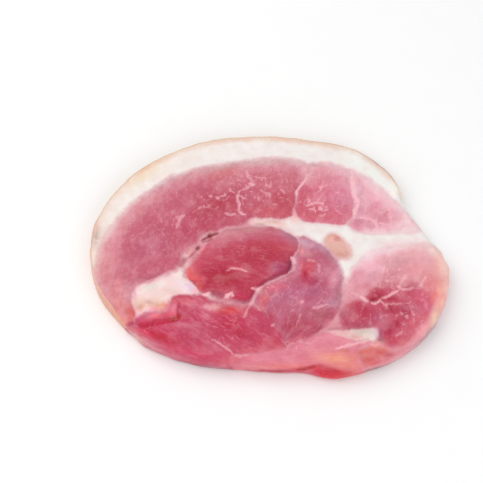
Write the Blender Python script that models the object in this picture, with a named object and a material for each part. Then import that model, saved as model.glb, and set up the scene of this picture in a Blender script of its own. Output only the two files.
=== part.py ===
"""A smoked gammon steak: one slice across a cured leg, lying flat on its underside.

The slice is one solid. Its outline runs along the rind from the lower left end over the top to a
small step at the right, and then round the bare lean edge. Each muscle of the leg is a low dome,
the fat between the muscles lies lower, and folds, slits and a loose flap are cut into the form.

It is drawn in millimetres, +X along the slice, +Y towards the rind and +Z up. The finished solid is
moved so that the origin is the middle of its base, and scaled to metres.
"""
import bmesh
import bpy
import numpy as np

NODE = "gammon_steak"
MM = 0.001
FULL_TURN = 2 * np.pi
QUARTER_TURN = np.pi / 2

# Driving sizes, in millimetres.
SLICE_LENGTH = 207.0      # over the longest way, along X
THICKNESS = 11.0          # of the fat between the muscles
TOP_EDGE_IN = 4.0         # how far the soft top edge is rounded in, and down
TOP_EDGE_DOWN = 3.4
RIND_STIFFNESS = 0.65     # share of that rounding that the stiff rind takes away
RIND_FADE = 2.0           # over which the edge turns soft where the rind ends
BASE_EDGE = 2.0           # rounding of the lower edge
SHOULDER = 6.0            # width of a muscle's rise at its border
SWELL = 0.45              # how far the top face rises and falls over the whole slice
SWELL_WAVES = (31.0, 24.0)

# The mesh: cells across the top, and rows down the side.
CELLS_X = 62
CELLS_Y = 46
TOP_ROUND_ROWS = 3
WALL_ROWS = 3
BASE_ROUND_ROWS = 2
CURVE_STEPS = 8           # straight pieces for each point of a drawn curve

# The outline of the slice seen from above, clockwise from the lower left end of the rind.
OUTLINE = [
    (-80, -42.5), (-86.5, -35), (-94, -25.5), (-100, -14), (-102.8, 0), (-103.3, 11),
    (-102.3, 21.5), (-98.8, 30.5), (-94.3, 40), (-87.3, 50), (-78, 60.3), (-64, 70), (-46, 78.8),
    (-28, 83.6), (-8, 85.5), (10, 85.2), (27, 82.8), (42, 80.2), (52, 76.8), (60.5, 71.3),
    (69.3, 63.3), (75.8, 54.8), (79.8, 46.5), (79.3, 41.5), (83.2, 32), (89.5, 21), (95, 12.5),
    (100, 5), (103, -3), (103.5, -11), (102.3, -19), (99.5, -28), (95.3, -36.5), (89, -45.5),
    (81, -53), (69, -61), (57, -66.2), (45, -69), (33, -69.7), (20, -67.7), (6, -67.8),
    (-8, -66.8), (-22, -65.5), (-36, -64.2), (-50, -60.7), (-62, -56), (-70, -51.8), (-75.5, -46.5),
]
RIND_END = 22             # the rind runs from the first point of the outline to this one
FRONT_Y = -50.0           # the front of the slice is nearer than this

# Each muscle, and the bone end with its fat pad: how high it stands, and its border.
MUSCLES = {
    "outer": (0.9, [
        (-83, -39), (-91, -29), (-94, -15), (-95.5, 4), (-93, 17), (-85.5, 30), (-73, 43.5),
        (-58, 55), (-37, 64.5), (-12, 69), (10, 70.3), (21, 67), (23, 59), (17, 47), (14, 33),
        (2, 26.5), (-13, 25), (-28, 19.5), (-42, 14), (-50, 3), (-58, -8), (-77, -17), (-80, -28),
    ]),
    "outer_middle": (0.7, [
        (27, 64.5), (37, 66.3), (47, 62), (50.5, 53), (50, 38), (48, 28), (40, 22.8),
        (24, 23.8), (17, 29), (17, 40), (22, 51),
    ]),
    "outer_right": (0.5, [
        (53, 58.5), (64, 52), (74, 41), (84, 27), (89, 20.5), (80, 17), (62, 16.2),
        (49, 20.5), (52.5, 31), (53, 44),
    ]),
    "centre": (1.6, [
        (-48.5, -9), (-43, 1), (-36, 11), (-22, 17.5), (0, 20.6), (13, 16), (16, 7),
        (13, -6), (0, -15), (-8, -21.5), (-14, -29), (-26, -25.5), (-38, -22), (-46, -14),
    ]),
    "right_centre": (0.9, [
        (19, 14.5), (30, 9), (38.5, -1), (41.5, -14), (39, -30), (32, -43), (18, -52),
        (6, -52), (-1, -41), (-7, -28), (1, -17), (14, -8), (17, 3),
    ]),
    "lower": (1.0, [
        (-52, -27), (-36, -26), (-22, -31), (-8, -31.5), (-3, -42), (5, -51), (2, -58),
        (-18, -61), (-36, -59), (-52, -55), (-64, -48), (-52, -40),
    ]),
    "right_lobe": (0.8, [
        (98, 3), (84, 8.8), (69, 2.5), (52, -6), (44.5, -18), (38, -39), (44, -44),
        (61, -42), (63, -50), (70, -54), (82, -46), (92, -33), (99, -14),
    ]),
    "bone_end": (1.5, [
        (-76, -17), (-62, -12), (-50, -8), (-41, -19), (-46, -24.5), (-56, -27), (-62, -34),
        (-74, -35), (-79, -25),
    ]),
}

# Folds and slits in the top face: depth, half width, and the line that each follows.
CUTS = {
    "fold": (4.2, 3.0, [(-78, -41), (-67, -43.5), (-60, -40), (-50.5, -37.5)]),
    "fold_branch": (1.2, 2.2, [(-66, -44), (-61, -50), (-52, -53)]),
    "slit": (2.4, 2.2, [(-39, 11.5), (-36, 14.3), (-31, 16.5)]),
    "second_slit": (1.6, 2.2, [(-50, -3), (-46, 2), (-41, 6.5)]),
    "lobe_seam": (0.9, 2.4, [(53, -26), (60, -29), (68, -24), (79, -19), (88, -13)]),
    "flap_edge": (0.8, 2.4, [(-20, -61.5), (0, -59), (14, -55.5), (28, -47.5), (42, -47)]),
}

# The side of the slice under the flap: a crease, and a muscle end that bulges out below it.
CREASE_LINE = [(8, 3), (18, 4.5), (27, 8.2), (36, 6.2), (48, 4)]     # X along the side, height
CREASE_DEPTH = 0.9
CREASE_WIDTH = 1.3
CREASE_FADE = 8.0         # over which the crease dies out at each end
BULGE_CENTRE = (33.0, 3.6)
BULGE_REACH = (13.0, 3.4)
BULGE_OUT = 2.2


def smooth_curve(points, closed):
    """Points along a Catmull-Rom curve through the drawn points."""
    drawn = np.array(points, float)
    ends = (drawn[-1:], drawn[:2]) if closed else (drawn[:1], drawn[-1:])
    padded = np.concatenate([ends[0], drawn, ends[1]])
    spans = len(drawn) if closed else len(drawn) - 1
    part = np.arange(CURVE_STEPS)[:, None] / CURVE_STEPS
    curve = []
    for i in range(spans):
        a, b, c, d = padded[i:i + 4]
        curve.append(b + 0.5 * part * (c - a + part * (2 * a - 5 * b + 4 * c - d
                                                       + part * (3 * b - 3 * c + d - a))))
    if not closed:
        curve.append(drawn[-1:])
    return np.concatenate(curve)


def nearest(line, places, closed=False):
    """The distance of each place from a line, in the plane."""
    start = line if closed else line[:-1]
    run = (np.roll(line, -1, axis=0) if closed else line[1:]) - start
    off = places[:, None, :] - start[None]
    share = np.clip((off * run).sum(2) / (run * run).sum(1), 0, 1)
    return np.sqrt(((off - share[..., None] * run) ** 2).sum(2).min(1))


def inside_depth(loop, places):
    """How far each place lies inside a closed loop; negative outside it."""
    x, y = places[:, None, 0], places[:, None, 1]
    ends = np.roll(loop, -1, axis=0)
    straddles = (loop[:, 1] > y) != (ends[:, 1] > y)
    rise = np.where(ends[:, 1] == loop[:, 1], 1, ends[:, 1] - loop[:, 1])
    crossing = loop[:, 0] + (y - loop[:, 1]) * (ends[:, 0] - loop[:, 0]) / rise
    within = (straddles & (x < crossing)).sum(1) % 2 == 1
    return np.where(within, 1, -1) * nearest(loop, places, closed=True)


def evenly_spaced(loop, count):
    """Points at equal steps along a closed loop, from its first point."""
    ring = np.concatenate([loop, loop[:1]])
    along = np.concatenate([[0], np.cumsum(np.hypot(*np.diff(ring, axis=0).T))])
    wanted = np.arange(count) / count * along[-1]
    return np.stack([np.interp(wanted, along, ring[:, k]) for k in (0, 1)], axis=1)


def outward(loop):
    """The direction out of the slice at each point of a clockwise loop."""
    run = np.roll(loop, -2, axis=0) - np.roll(loop, 2, axis=0)
    side = np.stack([-run[:, 1], run[:, 0]], axis=1)
    return side / np.hypot(*side.T)[:, None]


def top_height(places):
    """Height of the top face: domed muscles over the fat, less the folds and slits."""
    wave = places / np.array(SWELL_WAVES)
    height = THICKNESS + SWELL * np.sin(wave[:, 0]) * np.cos(wave[:, 1])
    for stand, border in MUSCLES.values():
        depth = inside_depth(smooth_curve(border, True), places)
        rise = np.clip(depth / SHOULDER, 0, 1)
        height += stand * rise * (2 - rise)
    for depth, half_width, line in CUTS.values():
        away = nearest(smooth_curve(line, False), places) / half_width
        height -= depth * np.exp(-away ** 2)
    return height


def side_push(x, z, front):
    """How far the side is pushed out at a height z; only the front of the slice has the crease."""
    crease = smooth_curve(CREASE_LINE, False)
    line_z = np.interp(x, crease[:, 0], crease[:, 1])
    from_end = np.minimum(x - crease[0, 0], crease[-1, 0] - x)
    fade = np.clip(from_end / CREASE_FADE, 0, 1)
    crease_push = -CREASE_DEPTH * fade * np.exp(-((z - line_z) / CREASE_WIDTH) ** 2)
    across = (x - BULGE_CENTRE[0]) / BULGE_REACH[0]
    up = (z - BULGE_CENTRE[1]) / BULGE_REACH[1]
    return np.where(front, crease_push + BULGE_OUT * np.exp(-across ** 2 - up ** 2), 0)


def disc_grid():
    """A grid of CELLS_X by CELLS_Y cells bent into the unit disc, and its rim in clockwise order."""
    u, v = np.meshgrid(np.linspace(-1, 1, CELLS_X + 1), np.linspace(-1, 1, CELLS_Y + 1))
    disc = np.stack([u * np.sqrt(1 - v * v / 2), v * np.sqrt(1 - u * u / 2)], axis=2)
    index = np.arange(disc.shape[0] * disc.shape[1]).reshape(disc.shape[:2])
    rim = np.concatenate([index[:-1, 0], index[-1, :-1], index[:0:-1, -1], index[0, :0:-1]])
    return disc.reshape(-1, 2), index, rim


def around(turn, ring_turn, ring):
    """Points of a closed ring read at any turn, straight between its own points."""
    order = np.argsort(ring_turn)
    turns = np.concatenate([ring_turn[order[-1:]] - FULL_TURN, ring_turn[order],
                            ring_turn[order[:1]] + FULL_TURN])
    points = np.concatenate([ring[order[-1:]], ring[order], ring[order[:1]]])
    return np.stack([np.interp(turn, turns, points[:, k]) for k in (0, 1)], axis=1)


def clock(disc):
    """The turn of each place of the disc, clockwise from its top."""
    return np.arctan2(disc[:, 0], disc[:, 1]) % FULL_TURN


def rim_outline(disc_rim):
    """The outline at the rim points of the disc, and how much each of them is rind."""
    loop = smooth_curve(OUTLINE, True)
    from_top = np.roll(loop, -loop[:, 1].argmax(), axis=0)
    even = evenly_spaced(from_top, 2 * len(loop))
    even_turn = np.arange(len(even)) / len(even) * FULL_TURN
    rim = around(clock(disc_rim), even_turn, even)
    rind_line = smooth_curve(OUTLINE[:RIND_END + 1], False)
    return rim, np.clip(1.5 - nearest(rind_line, rim) / RIND_FADE, 0, 1)


def side_rows(rounding, drop, rim_height):
    """How far in and how high each row down the side lies, from the top edge to the base."""
    rows = []
    for k in range(1, TOP_ROUND_ROWS + 1):
        bend = k / TOP_ROUND_ROWS * QUARTER_TURN
        rows.append((rounding * (1 - np.sin(bend)), rim_height - drop * (1 - np.cos(bend))))
    for k in range(1, WALL_ROWS + 1):
        down = k / WALL_ROWS
        rows.append((0, (1 - down) * (rim_height - drop) + down * BASE_EDGE))
    for k in range(1, BASE_ROUND_ROWS + 1):
        bend = k / BASE_ROUND_ROWS * QUARTER_TURN
        rows.append((BASE_EDGE * (1 - np.cos(bend)), BASE_EDGE * (1 - np.sin(bend))))
    return [(inset, np.broadcast_to(z, rounding.shape)) for inset, z in rows]


def build_slice():
    """All vertices and faces of the slice, in millimetres."""
    disc, index, rim = disc_grid()
    outline, rind = rim_outline(disc[rim])
    out = outward(outline)
    rounding = TOP_EDGE_IN * (1 - RIND_STIFFNESS * rind)
    drop = TOP_EDGE_DOWN * (1 - RIND_STIFFNESS * rind)

    # The top face fills the outline less its rounded edge.
    edge = outline - out * rounding[:, None]
    middle = edge.mean(0)
    reach = around(clock(disc), clock(disc[rim]), edge) - middle
    top = middle + reach * np.hypot(*disc.T)[:, None]
    top[rim] = edge
    height = top_height(top)
    points = [np.column_stack([top, height])]
    faces = [(index[j, i], index[j, i + 1], index[j + 1, i + 1], index[j + 1, i])
             for j in range(CELLS_Y) for i in range(CELLS_X)]

    above = rim
    front = outline[:, 1] < FRONT_Y
    for inset, z in side_rows(rounding, drop, height[rim]):
        push = side_push(outline[:, 0], z, front) * np.clip(z / BASE_EDGE, 0, 1)
        points.append(np.column_stack([outline + out * (push - inset)[:, None], z]))
        below = sum(map(len, points[:-1])) + np.arange(len(rim))
        for k in range(len(rim)):
            n = (k + 1) % len(rim)
            faces.append((above[k], above[n], below[n], below[k]))
        above = below
    faces.append(tuple(above))
    return np.concatenate(points), faces


def settle(points):
    """Scale the drawing to the slice's length, in metres, over the middle of its base."""
    low, high = points.min(0), points.max(0)
    middle = np.array([(low[0] + high[0]) / 2, (low[1] + high[1]) / 2, low[2]])
    points = points - middle
    points[:, :2] *= SLICE_LENGTH / (high[0] - low[0])
    return points * MM


def meat_material():
    """Cured lean and fat taken together: a moist, rosy pink."""
    material = bpy.data.materials.new("gammon")
    material.use_nodes = True
    shader = material.node_tree.nodes["Principled BSDF"]
    shader.inputs["Base Color"].default_value = (0.62, 0.19, 0.24, 1)
    shader.inputs["Roughness"].default_value = 0.42
    shader.inputs["Metallic"].default_value = 0.0
    return material


def main():
    for thing in list(bpy.data.objects):
        bpy.data.objects.remove(thing)
    points, faces = build_slice()
    mesh = bpy.data.meshes.new(NODE)
    mesh.from_pydata(settle(points).tolist(), [], [tuple(map(int, face)) for face in faces])
    form = bmesh.new()
    form.from_mesh(mesh)
    bmesh.ops.recalc_face_normals(form, faces=form.faces)
    form.to_mesh(mesh)
    form.free()
    mesh.shade_smooth()
    mesh.set_sharp_from_angle(angle=np.radians(50))
    mesh.materials.append(meat_material())
    bpy.context.scene.collection.objects.link(bpy.data.objects.new(NODE, mesh))


main()
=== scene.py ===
"""The looks of a smoked gammon steak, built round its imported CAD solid.

The slice is drawn in millimetres as seen from above: +X to the right, +Y towards the rind. A drawn
place past the outline lies down the side, because the side is unfolded outward by UNFOLD for each
millimetre down. Two closed meshes stand for the CAD solid: the meat, whose muscles, fat, folds and
fibres are worked out from the drawing, and the rind, a strip of skin along the back edge.
"""

import bpy
import numpy as np
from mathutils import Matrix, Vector


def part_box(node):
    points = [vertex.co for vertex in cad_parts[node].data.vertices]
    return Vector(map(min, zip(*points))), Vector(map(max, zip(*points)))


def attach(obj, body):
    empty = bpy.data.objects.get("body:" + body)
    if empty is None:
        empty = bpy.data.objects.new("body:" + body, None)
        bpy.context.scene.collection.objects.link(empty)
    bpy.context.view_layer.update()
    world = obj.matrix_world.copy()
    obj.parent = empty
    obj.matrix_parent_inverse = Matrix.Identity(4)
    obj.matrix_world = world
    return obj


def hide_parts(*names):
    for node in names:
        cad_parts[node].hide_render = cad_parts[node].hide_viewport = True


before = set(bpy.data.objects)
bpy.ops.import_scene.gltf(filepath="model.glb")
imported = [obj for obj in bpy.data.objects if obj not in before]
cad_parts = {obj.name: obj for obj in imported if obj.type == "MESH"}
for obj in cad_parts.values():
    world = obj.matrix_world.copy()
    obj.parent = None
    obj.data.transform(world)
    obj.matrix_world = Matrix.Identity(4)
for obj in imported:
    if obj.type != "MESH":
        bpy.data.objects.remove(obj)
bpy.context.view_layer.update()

NODE = "gammon_steak"
MM = 0.001
FULL_TURN = 2 * np.pi
QUARTER_TURN = np.pi / 2
ATTRIBUTE_KINDS = {1: ("FLOAT", "value"), 3: ("FLOAT_VECTOR", "vector"), 4: ("FLOAT_COLOR", "color")}

# -------------------- sizes, in millimetres
THICKNESS = 11.0          # of the fat between the muscles
TOP_EDGE_IN = 4.0         # how far the soft top edge is rounded in, and down
TOP_EDGE_DOWN = 3.4
FAT_EDGE = 0.3            # the same for the fat against the rind
BASE_EDGE = 2.0           # rounding of the lower edge
UNDER_EDGE = 0.7          # how far further in the underside begins
UNDER_HOLLOW = 0.28       # how far the underside is hollowed
HOLLOW_FADE = (2.7, 6)    # the hollows grow over this distance inside the outline
DRIFT_FADE = (2, 14)      # and the drift of the cut between top and underside over this
UNFOLD = 0.577            # drawn distance for each millimetre down the side
EDGE_CALM = 1.5           # the side is not uneven nearer to the top edge than this
DEEPEST_DENT = 1.6        # how far a fold may dent the side
SWELL = 0.45              # how far the top face rises and falls over the whole slice
SWELL_WAVES = (31.0, 24.0)
FIBRE_HEIGHT = 0.16       # how high the fibres stand
VEIN_DEPTH = 0.16         # how far the thin lines of fat are sunk
CUT_LIP = 0.12            # how high the lips of a fold are raised, as a share of its depth
RIND_THICK = 1.9
RIND_THINNEST = 0.03      # the share of its thickness that is left at its ends
RIND_OVERLAP = 0.9        # how far the rind reaches into the fat
RIND_PROUD = 0.10         # how far its cut edge stands above the fat
RIND_SUNK = 0.5           # how far its inner edge dips under the fat
RIND_ROUND = 0.7          # rounding of its outer edges
RIND_TAPER = 16.0         # over which it thins out at its ends
GLOW_NEAR = 1.5           # the fat is stained by the skin up to here, fading out at GLOW_FAR
GLOW_FAR = 5.5
GLOW_STRENGTH = 0.85
EDGES_NEAR = 26.0         # how far inside the outline the muscles' tinted edges begin to fade
EDGES_FAR = 36.0          # and where they are gone
SEAM_NARROW = 2.4         # how wide a gap between two muscles is, at most, when it is all seam
SEAM_WIDE = 4.6           # and from which width it is only fat
SEAM_CLOSING = 0.15       # how much of a seam closes from each side
SEAM_TINT = 0.8           # how strongly a seam is tinted
BORDER_TINT = 0.35        # how strongly the fat is tinted beside lean, within BORDER_REACH
BORDER_REACH = 2.6
FAN_REACH = 26.0          # where fanned fibres are as wide as straight ones
SOFT = 0.8                # half the width over which fat turns to lean
MEETING = 2.4             # how softly the colours of two touching muscles meet
GRAIN_APART = 40.0        # moves the fibres of one muscle on from those of the last
FRAYED_BORDERS = 0.9      # how far drawn lines are pushed about
FRAYED_VEINS = 0.8
FRAYED_CUTS = 0.45
LINE_END_WIDTH = 0.45     # how wide a drawn line still is at its ends
LINE_ENDS = 5             # a line thins over one part in this many at each end
FAR = 14.0                # depths are read no farther outside a drawn loop than this
NO_LINE = -6.0            # the cover, in half widths, where no line is near
TINY = 1e-9               # stands in for a length of nothing in a division
BATCH = 8192              # how many places are measured at a time, to spare memory

# -------------------- lumps: height, size and seed
FRAY_X = [(0.6, 4.2, 1), (0.4, 1.7, 2)]
FRAY_Y = [(0.6, 4.2, 3), (0.4, 1.7, 4)]
FIBRE_LUMPS = [(0.6, 2.4, 11), (0.4, 1.3, 12)]
TOP_LUMPS = [(0.18, 9, 13), (0.1, 4, 14)]
SIDE_LUMPS = [(0.35, 7, 21), (0.15, 2.5, 22)]
DRIFT_X = [(2.2, 32, 31)]
DRIFT_Y = [(2.2, 32, 32)]
UNDER_LUMPS = [(0.1, 5, 33)]
RIND_THICK_LUMPS = [(0.12, 14, 41)]
RIND_TOP_LUMPS = [(0.1, 3, 42)]
WRINKLES = [(0.16, 2.2, 43)]
WRINKLE_STRETCH = (0.5, 1)
CREASES = [(0.1, 1.1, 44)]

# -------------------- the meshes
CELLS_X = 300
CELLS_Y = 220
TOP_ROUND_ROWS = 5
WALL_ROWS = 6
BASE_ROUND_ROWS = 2
CURVE_STEPS = 6
RIND_STEPS = 760
RIND_TOP_POINTS = 9
RIND_WALL_POINTS = 12

# -------------------- the drawing
OUTLINE = [
    (-80, -42.5), (-86.5, -35), (-94, -25.5), (-100, -14), (-102.8, 0), (-103.3, 11), (-102.3, 21.5),
    (-98.8, 30.5), (-94.3, 40), (-87.3, 50), (-78, 60.3), (-64, 70), (-46, 78.8), (-28, 83.6), (-8, 85.5),
    (10, 85.2), (27, 82.8), (42, 80.2), (52, 76.8), (60.5, 71.3), (69.3, 63.3), (75.8, 54.8),
    (79.8, 46.5), (79.3, 41.5), (83.2, 32), (89.5, 21), (95, 12.5), (100, 5), (103, -3), (103.5, -11),
    (102.3, -19), (99.5, -28), (95.3, -36.5), (89, -45.5), (81, -53), (69, -61), (57, -66.2), (45, -69),
    (33, -69.7), (20, -67.7), (6, -67.8), (-8, -66.8), (-22, -65.5), (-36, -64.2), (-50, -60.7),
    (-62, -56), (-70, -51.8), (-75.5, -46.5),
]
RIND_END = 22             # the rind runs from the first point of the outline to this one
FRONT_Y = -50.0           # the front of the slice is nearer than this

# Each lean part: how high it stands, its own colour, how strongly its cells show, the run of its
# fibres ("along" an angle or a "fan" from a place, and how far they are drawn out), its border, and
# the soft ovals of colour on it: colour, X, Y, reach along and across, turn, strength. It may have
# edges, a colour laid along its border (colour, reach inwards, strength), and washes, areas with a
# colour and fibres of their own (colour, softness, strength, run of the fibres, border).
LEAN_TONE = "d58090"      # where no part is near
LEAN = {}
LEAN["outer"] = dict(
    rise=0.9, tone="cc6c7e", cells=0.6, grain=("along", 70, 1.3), edges=[("dea2ab", 13, 0.9)],
    loop=[
        (-93, -28.5), (-98, -20), (-99.6, -10), (-98.6, 0), (-97.8, 8), (-95, 15), (-91.8, 20.5),
        (-85.5, 30), (-77, 40), (-65, 50), (-58.5, 55), (-48, 59.2), (-37, 62.8), (-25, 64.8),
        (-12, 67.4), (0, 69.3), (12, 68.8), (20, 67.2), (24.7, 63), (24.2, 58), (22.3, 54.3),
        (19.8, 50.4), (17.9, 47.4), (16.2, 44.3), (15.8, 41), (15.7, 38), (15.5, 33), (13.4, 28.5),
        (9, 26.2), (3, 26.8), (-4, 26.8), (-9, 27.2), (-12, 24.6), (-15, 22.6), (-20, 21.8), (-24, 21.2),
        (-28, 19.5), (-33, 17.8), (-38, 15), (-41.5, 11), (-44, 8), (-47.5, 5), (-50, 1), (-51.5, -3),
        (-54, -6.5), (-60, -10), (-65, -13.2), (-71, -15.8), (-76.4, -19.6), (-78.2, -24), (-77.2, -31),
        (-75.6, -36), (-76.8, -41), (-78.5, -43.5), (-83, -43), (-87, -36.5),
    ],
    spots=[
        ("e6a09f", -95.5, -2, 20, 5, 91, 0.75), ("dc8f97", -89, -4, 24, 6, 92, 0.6),
        ("cc5f73", -72, -9, 6, 4, 10, 0.6), ("c66f8b", -68, 6, 14, 9, 30, 0.6),
        ("e5a2a8", -78, 32, 22, 5, 50, 0.7), ("c9667e", -75, -12.5, 7, 3, 15, 0.7),
        ("c4546a", -43, 21, 17, 8, 20, 0.75), ("bc4a5c", -29, 36, 13, 8, 20, 0.8),
        ("cb6076", -62, -2, 14, 6, -30, 0.5), ("e9a2ac", -89, 10, 18, 4, 85, 0.6),
        ("eccacb", -92.4, 18, 8, 3, 68, 0.85), ("dd929f", 3, 62, 22, 8, 3, 0.8),
        ("eebcc4", 23, 60.5, 4, 4, 0, 0.8), ("e3a0ac", 4, 62, 22, 3.4, 2, 0.6),
        ("dfbcbe", 0, 67.2, 26, 3.4, 2, 0.9), ("dab8b4", -31, 62.8, 18, 3.6, 15, 0.9),
        ("d3aab0", -60, 53, 16, 2.6, 36, 0.7), ("e4bec2", 18, 66, 8, 3, -20, 0.85),
        ("d67f8c", 4, 52, 15, 7, 5, 0.75), ("c85765", 7, 39.5, 9, 6, 0, 0.85),
        ("d2656f", 3, 31, 13, 4, 0, 0.8), ("e28882", -27, 57.5, 13, 3, 12, 0.5),
        ("dc8e98", -24, 52, 9, 4, 10, 0.75), ("dda0aa", -42, 58, 15, 5, 28, 0.6),
        ("e59a9c", -86, -29, 8, 6, -60, 0.8), ("f0a2a8", -85.3, -16, 3.4, 1.6, 85, 0.7),
        ("eea3aa", -85.5, -21, 4, 1.4, -20, 0.7), ("e49090", -84, -31, 6, 4, -60, 0.7),
        ("f5a6a3", -86, -39, 6, 2.6, -50, 0.85), ("e06c68", -77.4, -37, 6, 2.8, -82, 0.95),
        ("d45f63", -78.3, -42.3, 3.5, 2, 0, 0.8), ("f29189", -82, -41, 4, 2.4, -60, 0.8),
        # The mauve line along (-64, -11) and (-67, -13.4) is painted shadow above the white pad's top
        # edge.
        ("c2607c", -64, -11, 8, 2, 18, 0.6), ("b86070", -67, -13.4, 8, 1.2, 18, 0.6),
        ("d8a0a2", -39, 16.3, 2.4, 1.8, 30, 0.7),
    ])
LEAN["outer_middle"] = dict(
    rise=0.7, tone="dd7f92", cells=0.6, grain=("along", 75, 1.6), edges=[("eebac0", 9, 0.75)],
    loop=[
        (26.2, 63.5), (25.8, 58), (23.8, 53.7), (21.2, 49.6), (19.2, 46.6), (17.7, 43.7), (16.7, 41),
        (16.2, 37), (16.1, 32), (17.6, 27), (22, 24.2), (30, 23.3), (38, 22.8), (44, 22.2), (47, 25.5),
        (49.5, 30.5), (50.8, 34.5), (51.2, 38), (50.1, 41), (49.6, 45), (49, 50), (48.5, 55), (48.5, 59),
        (46, 62.3), (40, 64.6), (33, 65.6), (28, 65),
    ],
    spots=[
        ("f0c4ca", 43, 60, 14, 7, -15, 0.9), ("f8d8dc", 48, 60, 5, 5, 0, 0.7),
        ("f0bcc4", 26, 61, 5, 4, 0, 0.7), ("cc6073", 20, 38, 13, 4.5, 90, 0.75),
        ("d0606e", 28, 29.5, 10, 4, 0, 0.75), ("e28ea8", 44, 42, 10, 7, 90, 0.7),
        ("e79aa6", 30, 54, 8, 5, 90, 0.5), ("bcaeb0", 27.5, 64, 3, 1.6, 0, 0.6),
        ("d26078", 34, 32, 6, 3, 0, 0.4), ("e9a2b0", 40, 54, 9, 5, 0, 0.65),
        ("dd909c", 30, 57, 6, 3, 0, 0.5), ("cf7890", 45, 36, 4, 5, 0, 0.5),
    ])
LEAN["outer_right"] = dict(
    rise=0.5, tone="eda8b6", cells=0.5, grain=("along", 60, 1.6), edges=[("fae0e3", 10, 0.85)],
    loop=[
        (50.2, 61), (50.2, 55), (50.6, 50), (51, 45), (51.6, 41.3), (53.2, 38.3), (53, 35.5), (51.7, 31),
        (50.6, 27.5), (48.2, 22.6), (48.4, 20), (54.4, 17.6), (61, 16.6), (68, 17), (77, 17), (85, 17.5),
        (89, 20.5), (86, 25.5), (80.5, 31.5), (75.2, 38), (70.8, 43.8), (66, 49), (60.4, 54.2),
        (56.6, 57.4), (53, 60),
    ],
    spots=[
        ("fadbe0", 66, 50, 20, 7, -42, 0.9), ("dc8a9a", 52.4, 22.5, 4, 3, -20, 0.7),
        ("dc92a6", 54.4, 32, 6, 6, 0, 0.7), ("e8a2b2", 67, 25, 7, 6, 0, 0.5),
        ("fbdfe2", 84, 22, 10, 7, 0, 0.95), ("dfa6b2", 55, 43, 6, 3, 90, 0.6),
        ("f9becb", 66, 41, 10, 5, -45, 0.6), ("d2899c", 53, 23.6, 3, 2, -10, 0.6),
        ("d8909e", 60, 21, 3, 2, -10, 0.75), ("dc94a2", 66.5, 27.5, 5, 4.5, 0, 0.7),
        ("f3bcc6", 71, 19.5, 5, 2, 0, 0.7), ("e8a8b8", 54, 51, 4, 5, 0, 0.6),
    ])
LEAN["centre"] = dict(
    rise=1.5, tone="c44e62", cells=0.3, grain=("along", -6, 3.0),
    loop=[
        (-47.2, -9.6), (-45.6, -5), (-43.4, -1), (-41.5, 3), (-39.5, 7), (-36.5, 10), (-33, 12.5),
        (-29, 16), (-24, 19), (-20, 20), (-14, 21), (-7, 21.6), (0, 21.2), (5, 20.2), (9, 18.3), (13, 16),
        (16.5, 12.5), (17, 8), (15.5, 4), (13.5, 0.5), (13, -3), (12.5, -6.5), (10, -10), (5, -12.5),
        (0, -15), (-4, -17.5), (-7.5, -21), (-9.5, -25), (-11.5, -27.6), (-16, -28), (-21, -27),
        (-25, -26.3), (-30, -24.5), (-34, -22.5), (-39, -21.5), (-42, -18.5), (-43.8, -15.8),
        (-45.9, -13.3),
    ],
    spots=[
        ("d69cb0", 12.5, 11.5, 6, 3.4, -50, 0.85), ("ee8a9a", -16.5, -8.2, 5.5, 1.5, -8, 0.7),
        ("d89ca0", -28, 14.5, 13, 4.4, 22, 0.95), ("d09698", -10, 18.5, 17, 4, 0, 0.95),
        ("cf7484", 2, 16, 10, 3, 0, 0.8), ("d0788a", -12, 13, 12, 4, 5, 0.75),
        ("d68592", -29, 10, 11, 4, 28, 0.7), ("c08ca0", 12.5, 14, 6, 4.2, -40, 0.98),
        ("b38799", 16, 12, 4, 3, -50, 0.9), ("d56a7e", -35, 2, 12, 6, 70, 0.8),
        ("f09aa6", -38.5, 5.5, 5, 1.3, 60, 0.9), ("f09aa0", -44.6, -8, 2.6, 4.5, 30, 0.85),
        ("e0727f", -42, -5, 4, 5, 60, 0.7), ("e86a66", -45.5, -10.5, 4, 3, -35, 0.95),
        ("ff8480", -41, -13.2, 5.5, 1.6, -12, 0.98), ("e56c62", -39.7, -17.3, 3.5, 2, -60, 0.9),
        ("c54159", -37, -5, 7, 5, 60, 0.5), ("b42c46", -27, -13.5, 13, 7, 5, 0.85),
        ("bc4253", -8, -1, 14, 5, 6, 0.7), ("c04452", -3, 7, 9, 4, 0, 0.6),
        ("d06e84", 6, 12, 9, 3.4, -10, 0.8), ("ca5563", 7, 6, 8, 3, -10, 0.7),
        ("cc6878", 12.5, 5, 4, 5, 0, 0.7), ("b4587a", 5.5, -7, 6, 4, 25, 0.9),
        ("cc4060", -16, -25, 5, 3, 0, 0.7), ("8f4059", 12, -4.3, 4.5, 1.8, 80, 0.9),
        ("d8667c", -18, 7.5, 3, 1.4, -45, 0.6), ("e07c8a", -21, -6.5, 3, 1.6, 0, 0.6),
    ])
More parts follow.
